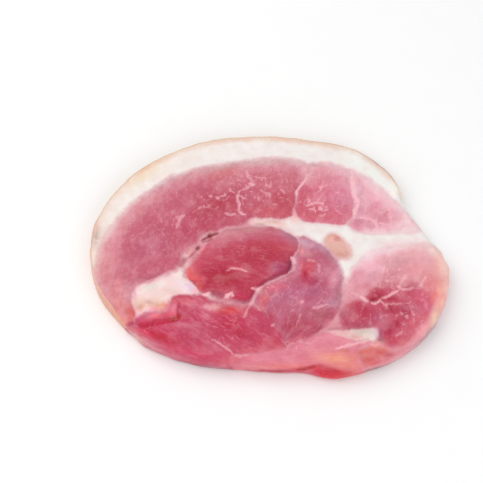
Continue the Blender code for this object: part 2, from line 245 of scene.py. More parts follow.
LEAN["right_centre"] = dict(
    rise=0.9, tone="c8728a", cells=0.6, grain=("fan", (4, -64), 3.0),
    loop=[
        (18.5, 14.5), (25, 12.3), (29.5, 8.8), (34, 4.6), (38, -0.5), (40.5, -5), (41.6, -11),
        (41.3, -20), (40.8, -28), (38.5, -36), (34, -43), (28, -47.3), (20, -51.5), (12, -54.5), (5, -57),
        (6, -50), (3, -44), (-3, -39), (-5, -33), (-9.2, -29), (-8.2, -25.5), (-6, -21.5), (-2.5, -18),
        (2, -15.5), (7, -13), (11, -10.8), (13.6, -7.5), (14.3, -3), (15, 0.5), (16.5, 3), (18, 8),
    ],
    spots=[
        ("d2aabb", 21, 10.5, 7, 4.4, -25, 0.85), ("d9aabb", 22, 9, 4.5, 2.4, 75, 0.85),
        ("c698aa", 28, 8, 6, 2.5, -40, 0.85), ("c092a6", 33.5, 3.5, 6, 2, -48, 0.8),
        ("c8909f", 37.5, -1.5, 5, 2, -55, 0.8), ("d48c92", 22, 2, 4, 2, 0, 0.8),
        ("f5a2a8", 18.8, 3.6, 2.2, 1.2, 80, 0.95), ("cc4257", 21.5, -9.5, 6, 3.4, 80, 0.95),
        ("dc6a78", 23.8, -5, 4, 3, 40, 0.75), ("a82842", 21.4, -11.3, 1.6, 1, 80, 0.9),
        ("f28088", 18.8, -5, 3.4, 0.9, 85, 0.85), ("c04a66", 23, -15.5, 5, 3, 0, 0.7),
        ("b6506f", 27.5, -15.5, 4, 3.5, 40, 0.8), ("d98c98", 8, -14, 6, 2, 20, 0.8),
        ("e17085", 4, -19.5, 6, 3, 10, 0.9), ("e4808c", -1, -17.5, 4, 1.6, 30, 0.7),
        ("e47478", -3, -26.5, 4, 2.6, 60, 0.9), ("d69092", -5, -22.5, 2.4, 1.6, 45, 0.7),
        ("b86480", 9, -25.5, 6, 3, 0, 0.7), ("c8759a", 17, -22, 7, 3, 0, 0.6),
        ("b96683", 26, -22, 6, 3, 0, 0.6), ("ec8fa2", 18, -29, 1.8, 1.2, 0, 0.8),
        ("c48fa5", 35.5, -29, 4, 3, 0, 0.8), ("b67c88", 38.3, -25, 5, 1.6, 90, 0.8),
        ("df94a4", 36, -13, 6, 3, 80, 0.85), ("d28598", 33, -8, 5, 3, 100, 0.7),
        # The pale strips along the right rim at (40.4, -9) and (40.6, -20) are painted light, lifting the
        # shade on the slope that faces away from the key light.
        ("cda6b4", 40.4, -9, 7, 1.5, 92, 0.95), ("cc94a2", 40.6, -20, 7, 1.4, 90, 0.8),
        ("d8858f", 29, -11, 4, 2, 90, 0.5), ("b25068", -0.5, -38, 3.4, 2, 100, 0.85),
        ("e07276", -4, -32, 3, 1.4, 110, 0.7), ("bf5c6c", 15, -38.5, 5, 2, 0, 0.7),
        ("ba646f", 29, -37, 7, 3.4, 0, 0.85), ("b84a60", 11, -43.5, 5, 3.4, 0, 0.8),
        ("c6606e", 22, -43, 6, 3, 0, 0.7), ("ab525f", 27.5, -45.3, 4, 1.6, 25, 0.8),
        ("df8494", 32, -42, 2.6, 1.4, 60, 0.8), ("c2586c", 17, -48.5, 8, 3, 15, 0.7),
        ("cc5068", -2, -42, 4, 6, -30, 0.85), ("dc7684", 12, -53.6, 9, 2.2, 25, 0.8),
        ("b64056", 14, -44.5, 7, 4, 0, 0.7), ("dea6b6", 24.5, 8.4, 3, 2, 60, 0.8),
        ("eaaab8", 37.6, -14.5, 7, 2.2, 83, 0.75),
    ])
LEAN["lower"] = dict(
    rise=1.0, tone="cc5670", cells=0.5, grain=("along", -31, 4.0),
    loop=[
        (-56.5, -26.5), (-53, -25), (-46, -23.9), (-40, -24.1), (-36, -25.4), (-33, -26.8), (-28, -28.6),
        (-20, -30), (-14, -30.5), (-9.8, -30.4), (-3.5, -34.5), (0, -40), (5, -46), (8, -51), (8, -57.4),
        (-6, -60.6), (-19, -62.5), (-22, -75), (-45, -75), (-62, -72), (-82, -62), (-88, -48),
        (-80, -43.5), (-74, -43.5), (-67, -45), (-60, -41), (-52, -39.8), (-50.3, -36), (-51.5, -31),
        (-54, -28),
    ],
    spots=[
        ("df7080", -48, -28, 9, 3, 0, 0.85), ("e08696", -37, -31.5, 6, 2, -10, 0.7),
        ("e65c58", -23, -34, 8, 2.6, -5, 0.95), ("cb3a5a", -22, -43, 8, 7, 0, 0.85),
        ("be3f56", -17, -48, 8, 4, -30, 0.7), ("c44d68", -42, -46, 14, 8, -20, 0.5),
        ("ce3a5e", -56, -48, 7, 3, -15, 0.75), ("e09a9c", -31, -31.5, 5, 2.4, -15, 0.8),
        ("d68690", -15, -31.5, 5, 1.6, 0, 0.6), ("de7088", -34, -39, 6, 1.4, -25, 0.6),
        ("d95a74", -42, -60, 22, 3, -12, 0.7), ("e08e98", -20, -66, 8, 3, 0, 0.7),
        # On the side at the lower left, the pale pink at (-69, -55) and (-77, -50) is painted highlight
        # on the rounded edge, and the thin grey bands at (-55, -66.5) and (-34, -70) are painted shade
        # along the bottom.
        ("e3a4ae", -69, -55, 12, 3.8, -35, 0.9), ("e9b2aa", -77, -50, 6, 4, -40, 0.95),
        ("d8808e", -56, -64, 14, 2.4, -16, 0.7), ("b48890", -55, -66.5, 16, 1.1, -18, 0.8),
        ("a97f88", -34, -70, 16, 1.1, -6, 0.8), ("e8506a", -68, -47.5, 7, 2, -25, 0.9),
        # The lighter pink e9607c along (-61, -42.2) is painted highlight on the groove's lower lip.
        ("ce2f50", -61, -50.5, 8, 1.6, -25, 0.85), ("e9607c", -61, -42.2, 7, 1.2, 12, 0.9),
        ("de8090", -50, -43, 6, 1.6, -5, 0.6), ("e08290", 2, -57.4, 11, 2.2, 12, 0.8),
        ("cf5468", 0, -54, 7, 4, 0, 0.8), ("d8707c", -12, -59, 8, 2, 5, 0.7),
        ("dc7080", -22, -65, 5, 6, 0, 0.8),
    ])
LEAN["fold"] = dict(
    rise=1.3, tone="e0728a", cells=0.2, grain=("along", 20, 4.0),
    loop=[
        (-76.5, -39), (-73.5, -36.6), (-70, -34.4), (-66, -34), (-62, -35), (-58.5, -33.5), (-57, -29.5),
        (-55.5, -26), (-52.5, -25.8), (-50.8, -29), (-50.4, -33), (-50.4, -37), (-55, -38), (-61, -39.3),
        (-65, -41), (-69, -42), (-74, -41.5),
    ],
    spots=[
        # The light pink spots along the fold's top edge and left tip (ff8c9c, ff93a8, e8a0ac) are painted
        # highlights on its rounded lip; the dark crimson ones at its lower edge (c43c58, c04a74) are
        # painted shade along the groove beneath.
        ("ff8c9c", -66, -38, 4, 1.6, 10, 0.85), ("d88c9c", -70, -36.5, 3.5, 1.6, 15, 0.85),
        ("c46a88", -71, -38.5, 4, 1.3, 0, 0.6), ("ff93a8", -73.8, -37, 3, 0.9, 35, 0.95),
        ("e8a0ac", -70.5, -34.8, 2.5, 0.9, 20, 0.7), ("ff8c95", -63, -37, 2.5, 1.8, 0, 0.8),
        ("ff8297", -55, -36.3, 3, 1.6, 0, 0.9), ("f08fa2", -53.3, -33, 1.8, 3.4, 0, 0.9),
        ("d4687a", -54, -27.5, 3, 2, 0, 0.8), ("c0546c", -50.9, -31, 3.5, 0.9, 90, 0.8),
        ("c43c58", -63, -40.3, 8, 1.2, 12, 0.8), ("c04a74", -75.5, -40, 3, 1.2, 0, 0.8),
        ("d06070", -60, -36, 2, 1.6, 0, 0.6),
    ])
LEAN["flap"] = dict(
    rise=1.5, tone="e68c9c", cells=0.15, grain=("along", 8, 7.0),
    loop=[
        (-22, -60.5), (-12, -60.2), (-4, -58.8), (6, -56.4), (13, -54.2), (20, -51), (26, -48.4),
        (29.5, -46.2), (36, -46.6), (45, -49), (52, -52), (57, -53), (51, -55.8), (50, -60), (54, -68),
        (60, -82), (0, -84), (-24, -68),
    ],
    spots=[
        ("f08a86", 8, -69, 18, 1.8, 0, 0.85), ("f09ca8", 37, -51, 10, 2.5, -5, 0.7),
        ("f7b090", 37, -64, 8, 1.8, 0, 1.0), ("f4a08e", 36, -62.5, 12, 3.5, 0, 0.8),
        # The brownish de8878 at (41, -58.6) is painted shadow under the light line beside the wedge.
        ("ea8a7c", 42, -67.5, 8, 1.8, -3, 0.85), ("de8878", 41, -58.6, 3, 1, 10, 0.7),
        ("d8364a", 28, -71.6, 6, 2, -12, 0.98), ("cc3446", 35, -72.2, 8, 1.6, -3, 0.95),
        ("dc4450", 36, -74, 10, 1.8, -2, 0.95), ("cf4a52", 43, -73, 6, 1.8, 3, 0.9),
        ("e07468", 42, -69.6, 7, 1.2, -4, 0.8), ("d86464", 48, -73, 5, 2, 6, 0.85),
        # The dark red b4404c along (4, -72.4) is painted contact shadow at the bottom of the flap's
        # front.
        ("b4404c", 4, -72.4, 18, 0.9, 0, 0.85), ("dc7686", -18, -65, 6, 6, 0, 0.75),
        ("d24a56", 15, -70.4, 5, 1.2, 5, 0.9),
    ])
LEAN["lobe"] = dict(
    rise=0.9, tone="e9a9b1", cells=0.4, grain=("fan", (22, -46), 3.5),
    loop=[
        (112, -3), (100, 6.8), (92, 8.6), (84, 8.8), (75, 7.8), (68, 6.5), (61, 4.5), (55.5, 1),
        (52, -3.5), (48.5, -7), (46, -11.5), (44.6, -17), (43.4, -23), (41, -28), (37.5, -35), (32, -42),
        (27, -46.8), (42, -45.8), (50, -45.3), (55.5, -44.6), (59.2, -45), (60.7, -47.6), (60, -51),
        (57, -53.2), (50, -56.3), (45, -60), (48, -66), (55, -80), (75, -78), (102, -60), (115, -25),
    ],
    washes=[
        ("cc6074", 2.4, 0.95, ("fan", (60, 2), 3.5), [
            (41, -38), (43.5, -32), (46, -29), (49, -28), (52, -28.5), (55, -30), (57, -28),
            (57, -25), (60, -21.5), (66, -19.5), (71, -19), (76, -20), (80, -19.5), (86, -20.5),
            (91, -24), (92.5, -29), (89, -36), (85, -42), (79, -48), (73, -54), (65, -56),
            (61.5, -50), (60.3, -45), (55, -44), (46, -44.8), (40, -43)]),
    ],
    spots=[
        ("f7ccd6", 52, -4, 12, 4.5, 48, 0.85), ("ffecf2", 58, 3, 13, 6, 30, 0.95),
        ("ffe4ea", 71, 7.5, 13, 6.6, 12, 0.95), ("fcdcdc", 87, 9.5, 14, 7, 2, 0.95),
        ("fbc8d4", 61, -5, 8, 5, 30, 0.8), ("efb2b8", 84, 2, 10, 3, 0, 0.7),
        ("fae8e0", 97, 3.5, 6, 5, -45, 0.9), ("ffeee4", 103.6, -5, 12, 2.8, 94, 0.98),
        ("f8d6cc", 105, -20, 10, 1.8, 86, 0.9), ("f1b3ad", 97, -6, 7, 4, 95, 0.7),
        ("f9bcc8", 58, -6, 6, 3, -20, 0.8), ("e8a0b0", 50, -15, 7, 4, 75, 0.8),
        ("dc95a6", 59, -13, 6, 3, 60, 0.7), ("e0a8ae", 70, -5, 6, 4, 0, 0.6),
        ("d99ca4", 77, -3, 6, 3, 0, 0.6), ("efa0a4", 84, -8, 8, 5, 0, 0.6),
        ("d98e98", 70, -12, 5, 2.4, 0, 0.6), ("de8896", 55, -19, 4, 2.4, 0, 0.7),
        ("cf8088", 65, -17, 4, 2, 20, 0.7), ("c25666", 61, -21, 4, 1.6, 20, 0.8),
        ("ca6c78", 71, -17.5, 4, 2, 10, 0.8), ("cd7884", 82.5, -17.6, 4, 2, 0, 0.8),
        ("b85060", 80, -20.2, 3, 1.4, 0, 0.8), ("ee9a98", 92, -14, 6, 4, 90, 0.5),
        ("e98489", 91, -20, 4, 4, 0, 0.6), ("bd4258", 61, -23.8, 4.5, 2.2, 20, 0.9),
        ("a72e46", 58.3, -27, 2.2, 1.3, 20, 0.9), ("c85464", 56, -25.5, 2, 1.4, 40, 0.7),
        ("c45064", 50, -30.5, 4, 2, 0, 0.7), ("b93b53", 53, -35, 5, 4, -40, 0.85),
        ("c46272", 44.5, -35, 4, 5, 0, 0.7), ("bc6076", 41, -36.5, 4.5, 2.5, 110, 0.85),
        ("d06a76", 44, -30, 3, 2, 0, 0.6), ("b6546c", 50, -42.5, 10, 2, 0, 0.7),
        ("c1627e", 61, -39, 5, 4, 0, 0.8), ("b74257", 69, -27, 5, 1.5, -5, 0.8),
        ("b33e52", 68.5, -33, 4, 2.6, 0, 0.8), ("ad2b45", 69.5, -42.5, 2, 3, 100, 0.85),
        ("b13552", 65.5, -46, 3, 4, 0, 0.85), ("e0708a", 85.5, -25.5, 5, 3.4, -10, 0.85),
        ("ea8aa2", 88.2, -30.5, 4, 1.3, 95, 0.95), ("b4485f", 76, -35, 4, 4.5, 0, 0.8),
        ("dc7080", 79, -42, 5, 3, 60, 0.8), ("e27c8c", 85.5, -39, 4, 3, 60, 0.8),
        ("da7a88", 78, -48, 6, 3, 40, 0.8), ("d2596a", 68, -51.5, 5, 2.4, 0, 0.8),
        # The dark grey-brown a3736c at (61.8, -52.2) is painted shadow at the wedge's right end.
        ("dd7a82", 74.5, -53, 4, 2, 30, 0.8), ("a3736c", 61.8, -52.2, 2, 1.3, 0, 0.8),
        ("e98488", 92, -27.5, 4, 2.2, 90, 0.8), ("f08482", 93.5, -24, 3, 2, 90, 0.7),
        # Along the right edge the pale cream and peach is a thin film of fat; the thin pale line from
        # (98.6, -29) down to (83, -48.2) is painted highlight along the rounded top edge.
        ("f8aa98", 97, -22, 8, 2.4, 92, 0.9), ("fcd6cc", 101, -8, 13, 4, 95, 0.85),
        ("fcd0c4", 101, -18, 8, 2.6, 90, 0.9), ("f9b4a2", 95.4, -31, 5, 2, 70, 0.9),
        ("ffc8bc", 98.6, -29, 5, 1.5, 72, 0.9), ("e0ccca", 99.8, -34, 6, 1.3, 62, 0.9),
        ("f8c4a8", 93, -36.5, 3, 2, 60, 0.9), ("f8dcc4", 92.2, -40, 4.4, 2.4, 55, 0.98),
        ("ffb3b6", 86.5, -44.6, 3.4, 1.4, 50, 0.95), ("f9a6ac", 83, -48.2, 3.4, 1.4, 45, 0.9),
        # The grey and grey-brown spots low on the side at the front right (a8868a, b58c92, a9928f,
        # a88a90, a8a09a, a39490, b08086) are painted shade along the bottom of the side.
        ("ecc0be", 88.5, -47, 4, 1.2, 50, 0.8), ("a8868a", 92, -46, 5, 1.3, 52, 0.9),
        ("b58c92", 86, -54, 8, 1.8, 42, 0.85), ("a9928f", 85, -59.6, 12, 1.5, 42, 0.9),
        ("a88a90", 68, -68, 12, 1.3, 22, 0.85), ("a8a09a", 99.4, -42.5, 8, 1.4, 57, 0.9),
        ("a39490", 95, -49, 9, 1.4, 50, 0.9), ("dba4ac", 82, -57, 6, 1.4, 40, 0.8),
        ("e08894", 74, -60, 8, 2.2, 30, 0.7), ("f09084", 58, -55.3, 3, 1.2, 0, 0.85),
        ("e27a70", 53, -59, 8, 3, 8, 0.9), ("dc6a66", 54, -64, 6, 2.2, 8, 0.9),
        ("da6864", 61, -59.5, 4, 2.4, 10, 0.85), ("c85c68", 66, -61.5, 4, 2, 15, 0.7),
        ("dc7078", 58, -66.5, 8, 1.8, 15, 0.8), ("b08086", 56, -71, 10, 1.2, 10, 0.8),
        ("dc7a76", 47, -68, 5, 2, 4, 0.8),
    ])
LEAN["gland"] = dict(
    rise=-0.3, tone="e8b8ac", cells=0.15, grain=("along", -50, 2.0),
    loop=[
        (32.5, 12.5), (35, 15.5), (39, 15.6), (43, 12.5), (45.9, 8), (47, 3.6), (45.6, 0.7), (43.5, -0.8),
        (40, 1), (36, 5), (33, 9),
    ],
    spots=[
        ("d68f88", 40.5, 13.3, 3, 1.4, -40, 0.9), ("ffb4ae", 38, 12.6, 2, 1.2, 0, 0.85),
        ("d9a796", 42.5, 2, 3.5, 2.2, -20, 0.7),
    ])

# The fat: its own colour, the ovals of colour on it, and the stain beside the skin.
FAT_TONE = "f4ece9"
FAT_SPOTS = [
    ("f2e4da", -98, 14, 32, 14, 80, 0.9), ("f6e7dd", -66, 60, 40, 12, 38, 0.6),
    # The near-white spots at (77, 48) and (74, 44) are painted light, lifting the shade on the rounded
    # fat at the rind's end.
    ("fbf6e4", 77, 48, 4, 3, -70, 0.95), ("f6dcbc", -74, 58, 13, 3.6, 42, 0.75),
    ("ecc0b2", -100.8, 21, 12, 2.4, 80, 0.8), ("b8a294", -100.8, 13, 6, 2.2, 78, 0.75),
    ("fde0d8", -102.5, -4, 14, 2, 88, 0.8), ("f8cdc2", -103, 8, 6, 1.5, 90, 0.7),
    ("fdc8c0", -99.5, -22, 10, 2, 115, 0.9), ("f8c0b4", -94, -31, 8, 2.4, 125, 0.9),
    ("f4f7f1", 60, 60, 20, 8, -45, 0.7), ("fff8f6", 74, 44, 7, 4, -50, 0.8),
    ("eedcd8", 17, 20, 8, 4, 5, 0.6), ("f2d6da", 11, 18.5, 4, 2, -25, 0.8),
    ("e9b6ae", -1, 23.4, 11, 2, 0, 0.95), ("fbc2bf", 0, 25.6, 8, 0.8, -2, 0.7),
    ("cf9e93", 3, 24.3, 3, 1, 0, 0.8), ("d6aaa3", -5, 22.7, 4, 1, 0, 0.7),
    ("ffbabd", -11.5, 23, 4.5, 1.5, 45, 0.95), ("f0b0b0", -19, 20.4, 7, 1.3, 5, 0.95),
    ("f9c6bd", 6, 22.3, 3.5, 1.6, -20, 0.8), ("fbb8b4", 15.5, 28, 3, 4, 0, 0.85),
    ("d98c96", -32, 15.5, 7, 3, 25, 0.95), ("d8919c", -40, 9, 5, 4, 50, 0.95),
    ("d88a94", -46, 3, 9, 5, 55, 0.98), ("eea8ac", -46, 3.5, 3, 1.4, 60, 0.8),
    ("ffbcc0", -46.7, -3, 3.5, 1.6, 75, 0.95), ("d89098", -43, 0, 3, 2, 60, 0.9),
    ("f0a4ae", -38.6, 8.6, 2.6, 1.4, 60, 0.9), ("e0a0a6", -48.6, -5, 4, 2.4, 50, 0.95),
    ("f4c8d0", 43, -16, 6, 1.5, 95, 0.8), ("f2b0bc", 42.2, -22.5, 4, 1.3, 95, 0.95),
    ("cc8494", 41.5, -31, 5, 2.4, 98, 0.98), ("c07084", 39, -39, 5, 2.4, 110, 0.98),
    ("d98a96", 33, -45.5, 5, 1.6, 40, 0.9), ("d8949a", -26, -27, 14, 2.8, -10, 0.98),
    # The dusky mauve a85a68 at (-29, -24.4) is painted shadow above the seam.
    ("ffb2be", -36, -23.4, 3, 1.4, 0, 0.95), ("a85a68", -29, -24.4, 4, 1.3, -25, 0.9),
    ("ffc6ce", -22.5, -24.4, 3, 1.6, 25, 0.98), ("dc9aa2", -14, -30, 6, 1.6, 5, 0.9),
    ("edb4bd", 24, 57, 10, 2, 70, 0.6), ("f2b8c4", 51, 40, 16, 2, 90, 0.6),
    ("e08f86", -82, -38, 8, 3, -60, 0.9), ("e2a09a", -84, -45, 8, 3, -40, 0.9),
    ("f9d6da", 72, 10, 9, 2, 8, 0.6), ("e8b4ac", 66, 67.5, 12, 2.2, -45, 0.85),
    ("efc0ac", -71, 64, 24, 2, 38, 0.7),
]
GLOW_TONE = "efc8b4"

# Where the border between fat and lean is softer: by how much, X, Y, reach along and across, turn.
SOFT_SPOTS = [
    (3.6, -93, -4, 26, 9, 88), (2.4, -86, 28, 24, 8, 50), (2.0, -50, 60, 40, 9, 35),
    (1.2, -6, 22, 18, 4, 0), (2.6, -44, 4, 14, 6, 55), (0.8, -60, -12, 18, 4, 25),
    (2.4, -26, -27, 13, 5, -8), (2.4, -20, -31, 12, 2.6, 0), (1.6, 5, 69, 40, 8, 0),
    (2.2, 40, 64, 22, 8, -12), (3.4, 68, 46, 28, 10, -50), (3.4, 88, 20, 12, 8, -50),
    (3.6, 78, 9, 26, 8, 6), (3.6, 56, 0, 12, 9, 30), (1.0, 42, 7, 9, 9, 0), (1.4, 43, -24, 12, 3, 92),
    (2.4, -62, -34.5, 7, 3, 0), (1.6, -57, -29, 3, 6, 0), (2.0, -20, -64, 5, 10, 0),
    (1.6, 50, -58, 6, 6, 0), (1.4, 33, -47, 6, 3, 0),
]

# Where thin lines of fat run through the lean: how strongly, X, Y, reach along and across, turn.
MARBLED = [
    (0.9, -8, 46, 20, 13, 10), (0.5, -38, 38, 18, 10, 30), (0.3, -66, 20, 24, 16, 45),
    (0.9, 30, 34, 12, 8, 0), (0.6, 32, 52, 10, 12, 0), (1.0, 66, 28, 14, 11, -40),
    (0.5, 60, 48, 12, 8, -40), (0.2, -20, 2, 26, 12, 0), (0.6, 2, -18, 9, 6, 30),
    (0.35, 22, -28, 22, 18, 0), (0.25, -26, -46, 30, 14, -20), (0.5, 14, -55, 12, 4, 15),
    (0.8, 70, -10, 20, 12, 0), (0.6, 82, -36, 12, 14, -40), (0.35, 56, -34, 14, 8, 0),
]

# White pads that stand above the fat: left of the centre, and the wedge between lobe and flap.
PADS = [
    dict(
        rise=0.9, tone="f8d9d6",
        loop=[
            (-75.8, -20.9), (-73, -18.7), (-69, -16.6), (-65, -14.6), (-60.5, -12.9), (-56, -10.7),
            (-52, -8.9), (-49, -9.2), (-49, -12), (-46.3, -14.3), (-43.8, -16.5), (-41.8, -19),
            (-39.8, -21.6), (-42.8, -23), (-47, -23.2), (-52, -24), (-55.2, -25.5), (-57, -29),
            (-58, -32.5), (-61, -34.5), (-65, -34), (-70, -34.6), (-72.8, -36), (-74.6, -34.6),
            (-75.9, -31), (-77, -26.5), (-77.4, -22.8),
        ],
        spots=[
            ("eeb0bf", -76.2, -23, 6, 1.8, 88, 0.95), ("e6ddd3", -66.5, -18.5, 5, 2, 15, 0.8),
            ("eec2ac", -64, -30, 12, 3.4, -5, 0.85), ("dc9e8c", -72.4, -32, 3.4, 2.2, 0, 0.9),
            ("e3b39c", -75.8, -30.5, 1.8, 2.4, 0, 0.8), ("eda0b0", -77.2, -34, 1.8, 3, -20, 0.85),
            ("d9a8a6", -67.6, -29, 2.6, 1.3, -15, 0.8), ("ffa6b4", -66, -32.6, 4, 1.4, 8, 0.95),
            ("e0a48c", -62.8, -31, 1.8, 1.6, 0, 0.85), ("f79e8e", -60.6, -33.6, 3, 1.6, 10, 0.9),
            ("eb9e88", -59.6, -31, 1.6, 2.4, 0, 0.8), ("f89c96", -57.8, -31, 2, 4, 15, 0.95),
            ("f6dce4", -51, -17.5, 6, 3, -30, 0.7), ("f4a8b2", -70, -34.2, 5, 1.2, 15, 0.8),
            ("ebc9e2", -45.7, -19.2, 3.6, 2.4, -45, 0.9), ("ffb4c2", -41.7, -21.6, 2.4, 1.6, -45, 0.95),
            ("ffc0be", -50, -24, 6, 1, 0, 0.9), ("e4c2b6", -54, -22.3, 3, 1, 10, 0.5),
            ("f7c4ce", -64, -14.5, 9, 1, 24, 0.8), ("e8c3ba", -58, -21, 3, 1.4, 0, 0.5),
        ]),
    dict(
        rise=1.0, tone="e6cdc6",
        loop=[
            (31, -46.5), (38, -46.2), (46, -46), (52, -45.8), (55.6, -45), (58.8, -45.6), (60.1, -48),
            (59.3, -50.6), (56.6, -52.2), (53, -53), (48, -52.2), (41, -50.2), (35, -48.4),
        ],
        spots=[
            ("ffb2b8", 40, -47.6, 7, 1.4, -2, 0.95), ("d9c6be", 51, -47.4, 5, 1.6, 4, 0.9),
            ("e9d0dc", 59.3, -46.5, 2.6, 3, 0, 0.9), ("eeaeac", 48, -50.6, 7, 1.5, -10, 0.9),
        ]),
]

# Thin lines of fat: half width, strength, and the places each one runs through.
VEINS = [
    (0.7, 0.45, [(-13, 60), (-11, 55), (-9, 51), (-13, 47), (-17, 45)]),
    (1.0, 0.7, [(-11, 50.5), (-8, 50)]),
    (0.8, 0.6, [(-17, 45), (-18, 40), (-17, 36), (-17, 31.5)]),
    (0.8, 0.65, [(-17, 31), (-15.5, 29.3), (-13.5, 28.8)]),
    (0.8, 0.5, [(-19.5, 29.5), (-22, 29.3), (-25, 29)]),
    (0.7, 0.4, [(-5, 46), (-2, 44), (1, 43), (1, 40)]),
    (0.6, 0.4, [(-1, 50), (1, 48), (2, 52)]),
    (0.7, 0.45, [(7.5, 46.5), (9, 45), (10, 43.5)]),
    (0.6, 0.4, [(-6, 41), (-5, 38.5)]),
    (0.6, 0.35, [(3, 36.5), (5.5, 36)]),
    (0.7, 0.7, [(23.8, 58), (21.5, 52), (18.8, 47.6), (16.8, 43)]),
    (0.8, 0.4, [(15.4, 34), (14.8, 30), (14.2, 26)]),
    (0.8, 0.9, [(50.4, 56), (50.2, 50), (50.4, 44), (51, 41.4), (53.2, 38.6), (52.6, 35), (51, 31),
                (49.6, 26)]),
    (0.9, 0.8, [(51.5, 40), (52.6, 37.5)]),
    (0.9, 0.45, [(-49, 28.8), (-51.3, 26), (-52.5, 23), (-54, 19.5)]),
    (0.8, 0.5, [(-50.5, 28), (-49.5, 28.4)]),
    (0.8, 0.45, [(-35, 42), (-33.5, 41.5)]),
    (0.8, 0.55, [(-30.5, 40), (-29, 40.5)]),
    (0.6, 0.4, [(-24, 42), (-23, 41)]),
    (0.6, 0.4, [(-38, 35), (-37, 34)]),
    (0.7, 0.6, [(22, 34.8), (25, 35.6), (29, 37), (33, 36.3)]),
    (0.7, 0.55, [(24.7, 36), (24.6, 39.2)]),
    (0.6, 0.4, [(30, 40.5), (30, 38)]),
    (0.8, 0.5, [(31.3, 46.8), (31.6, 48.5)]),
    (0.6, 0.35, [(31, 55), (31, 57.5)]),
    (0.8, 0.4, [(41, 43.5), (42.8, 45.3)]),
    (0.6, 0.4, [(29.5, 28.6), (32, 28.4), (34, 29.5)]),
    (0.6, 0.35, [(39, 34), (42, 30), (44, 29.3)]),
    (0.7, 0.4, [(70, 29), (72, 30)]),
    (0.7, 0.4, [(66, 21), (69, 23)]),
    (0.8, 0.6, [(62.6, 16.5), (63.4, 20), (62.4, 23.6), (60, 25.5), (56, 26.2), (52.4, 26.8)]),
    (0.7, 0.5, [(64.5, 22.6), (68, 22.4), (71, 22.2), (72.2, 25), (71.2, 29)]),
    (0.7, 0.45, [(71, 33.5), (72.4, 30), (74.4, 27)]),
    (0.7, 0.5, [(55.6, 42), (57.8, 39.6)]),
    (0.6, 0.35, [(64, 44), (66, 41)]),
    (0.7, 0.35, [(-24.5, -9), (-22, -8)]),
    (0.6, 0.6, [(-21, -7.2), (-17, -8), (-12, -8.8)]),
    (0.7, 0.35, [(28.5, -4), (28.6, -10)]),
    (0.7, 0.35, [(22.5, -2), (27, -3)]),
    (1.1, 0.85, [(13, 0.4), (14, -1.5), (14.6, -4)]),
    (0.7, 0.4, [(14.2, -5), (13.6, -8), (11.5, -9.8)]),
    (0.7, 0.4, [(9, -11.2), (5, -13), (1, -15), (-2.5, -17)]),
    (0.9, 0.75, [(-3.8, -18.6), (-6.5, -21.3), (-8, -24)]),
    (0.8, 0.6, [(-8, -24), (-9.3, -27), (-11, -29.8)]),
    (0.7, 0.6, [(-6.5, -20.6), (-10.5, -20.1)]),
    (1.0, 0.95, [(-37.2, -23.6), (-35.6, -23.8), (-34.4, -22.8)]),
    (1.1, 0.95, [(-25.4, -25.2), (-23, -24.6), (-21.4, -23)]),
    (0.9, 0.9, [(-22.4, -24.4), (-20.2, -24.8)]),
    (1.6, 0.35, [(-36, -31.6), (-32, -32), (-28.5, -30.8)]),
    (0.6, 0.4, [(-10.8, -31), (-12.8, -35), (-14.6, -39)]),
    (0.8, 0.45, [(0.8, -43.2), (2.8, -42.3)]),
    (0.6, 0.45, [(-32, -52), (-27.5, -54.8), (-24, -57.2), (-20, -61)]),
    (0.8, 0.4, [(-19, -62), (-12, -61.6)]),
    (0.8, 0.7, [(53, -53), (48, -54), (44, -55.2), (39, -56.8), (35.5, -58.2)]),
    (0.7, 0.4, [(17.5, -29), (19.5, -28.6)]),
    (0.7, 0.45, [(24, -32.5), (26.5, -32.3), (32, -30.2)]),
    (0.9, 0.85, [(51.5, -25.2), (53.5, -26.3), (55.5, -28.5)]),
    (0.8, 0.75, [(57.5, -29.3), (60.5, -29), (63, -27.3)]),
    (0.8, 0.35, [(47, -22.5), (50, -24.3)]),
    (0.7, 0.7, [(63.5, -26.8), (66.5, -25.3), (70, -23.4), (72.5, -21.6)]),
    (0.7, 0.5, [(73.5, -20.8), (77, -21.4), (82, -19.6)]),
    (0.7, 0.5, [(86, -18.7), (87.5, -16), (89.5, -12.5)]),
    (0.8, 0.7, [(72.3, -19.2), (74, -19.3)]),
    (0.7, 0.5, [(74, -17.6), (75.8, -14.5), (78, -11.5)]),
    (0.8, 0.4, [(66.5, -15.6), (68.5, -15)]),
    (0.6, 0.55, [(62.5, -28.6), (64.5, -30), (66.3, -31.8)]),
    (0.6, 0.35, [(66, -30), (70, -30.3), (75, -30)]),
    (0.7, 0.4, [(66, -5), (65.2, -8), (64.8, -11)]),
    (0.7, 0.5, [(76.6, -36.8), (77.2, -39)]),
    (0.6, 0.4, [(73.5, -35), (74.5, -36.8)]),
    (0.6, 0.35, [(79.5, -34), (80.5, -37.5)]),
    (0.7, 0.35, [(70, -49.3), (74, -47)]),
    (0.7, 0.45, [(55.5, -54), (57.5, -55.5), (60, -55)]),
]
VEIN_TONE = "f9bdc6"
SEAM_TONE = "e2a2ad"
GLOSS_VEIL = 0.036        # linear light that the gloss adds under the studio light
DARKEST = 0.012           # the least linear light that is left of any colour
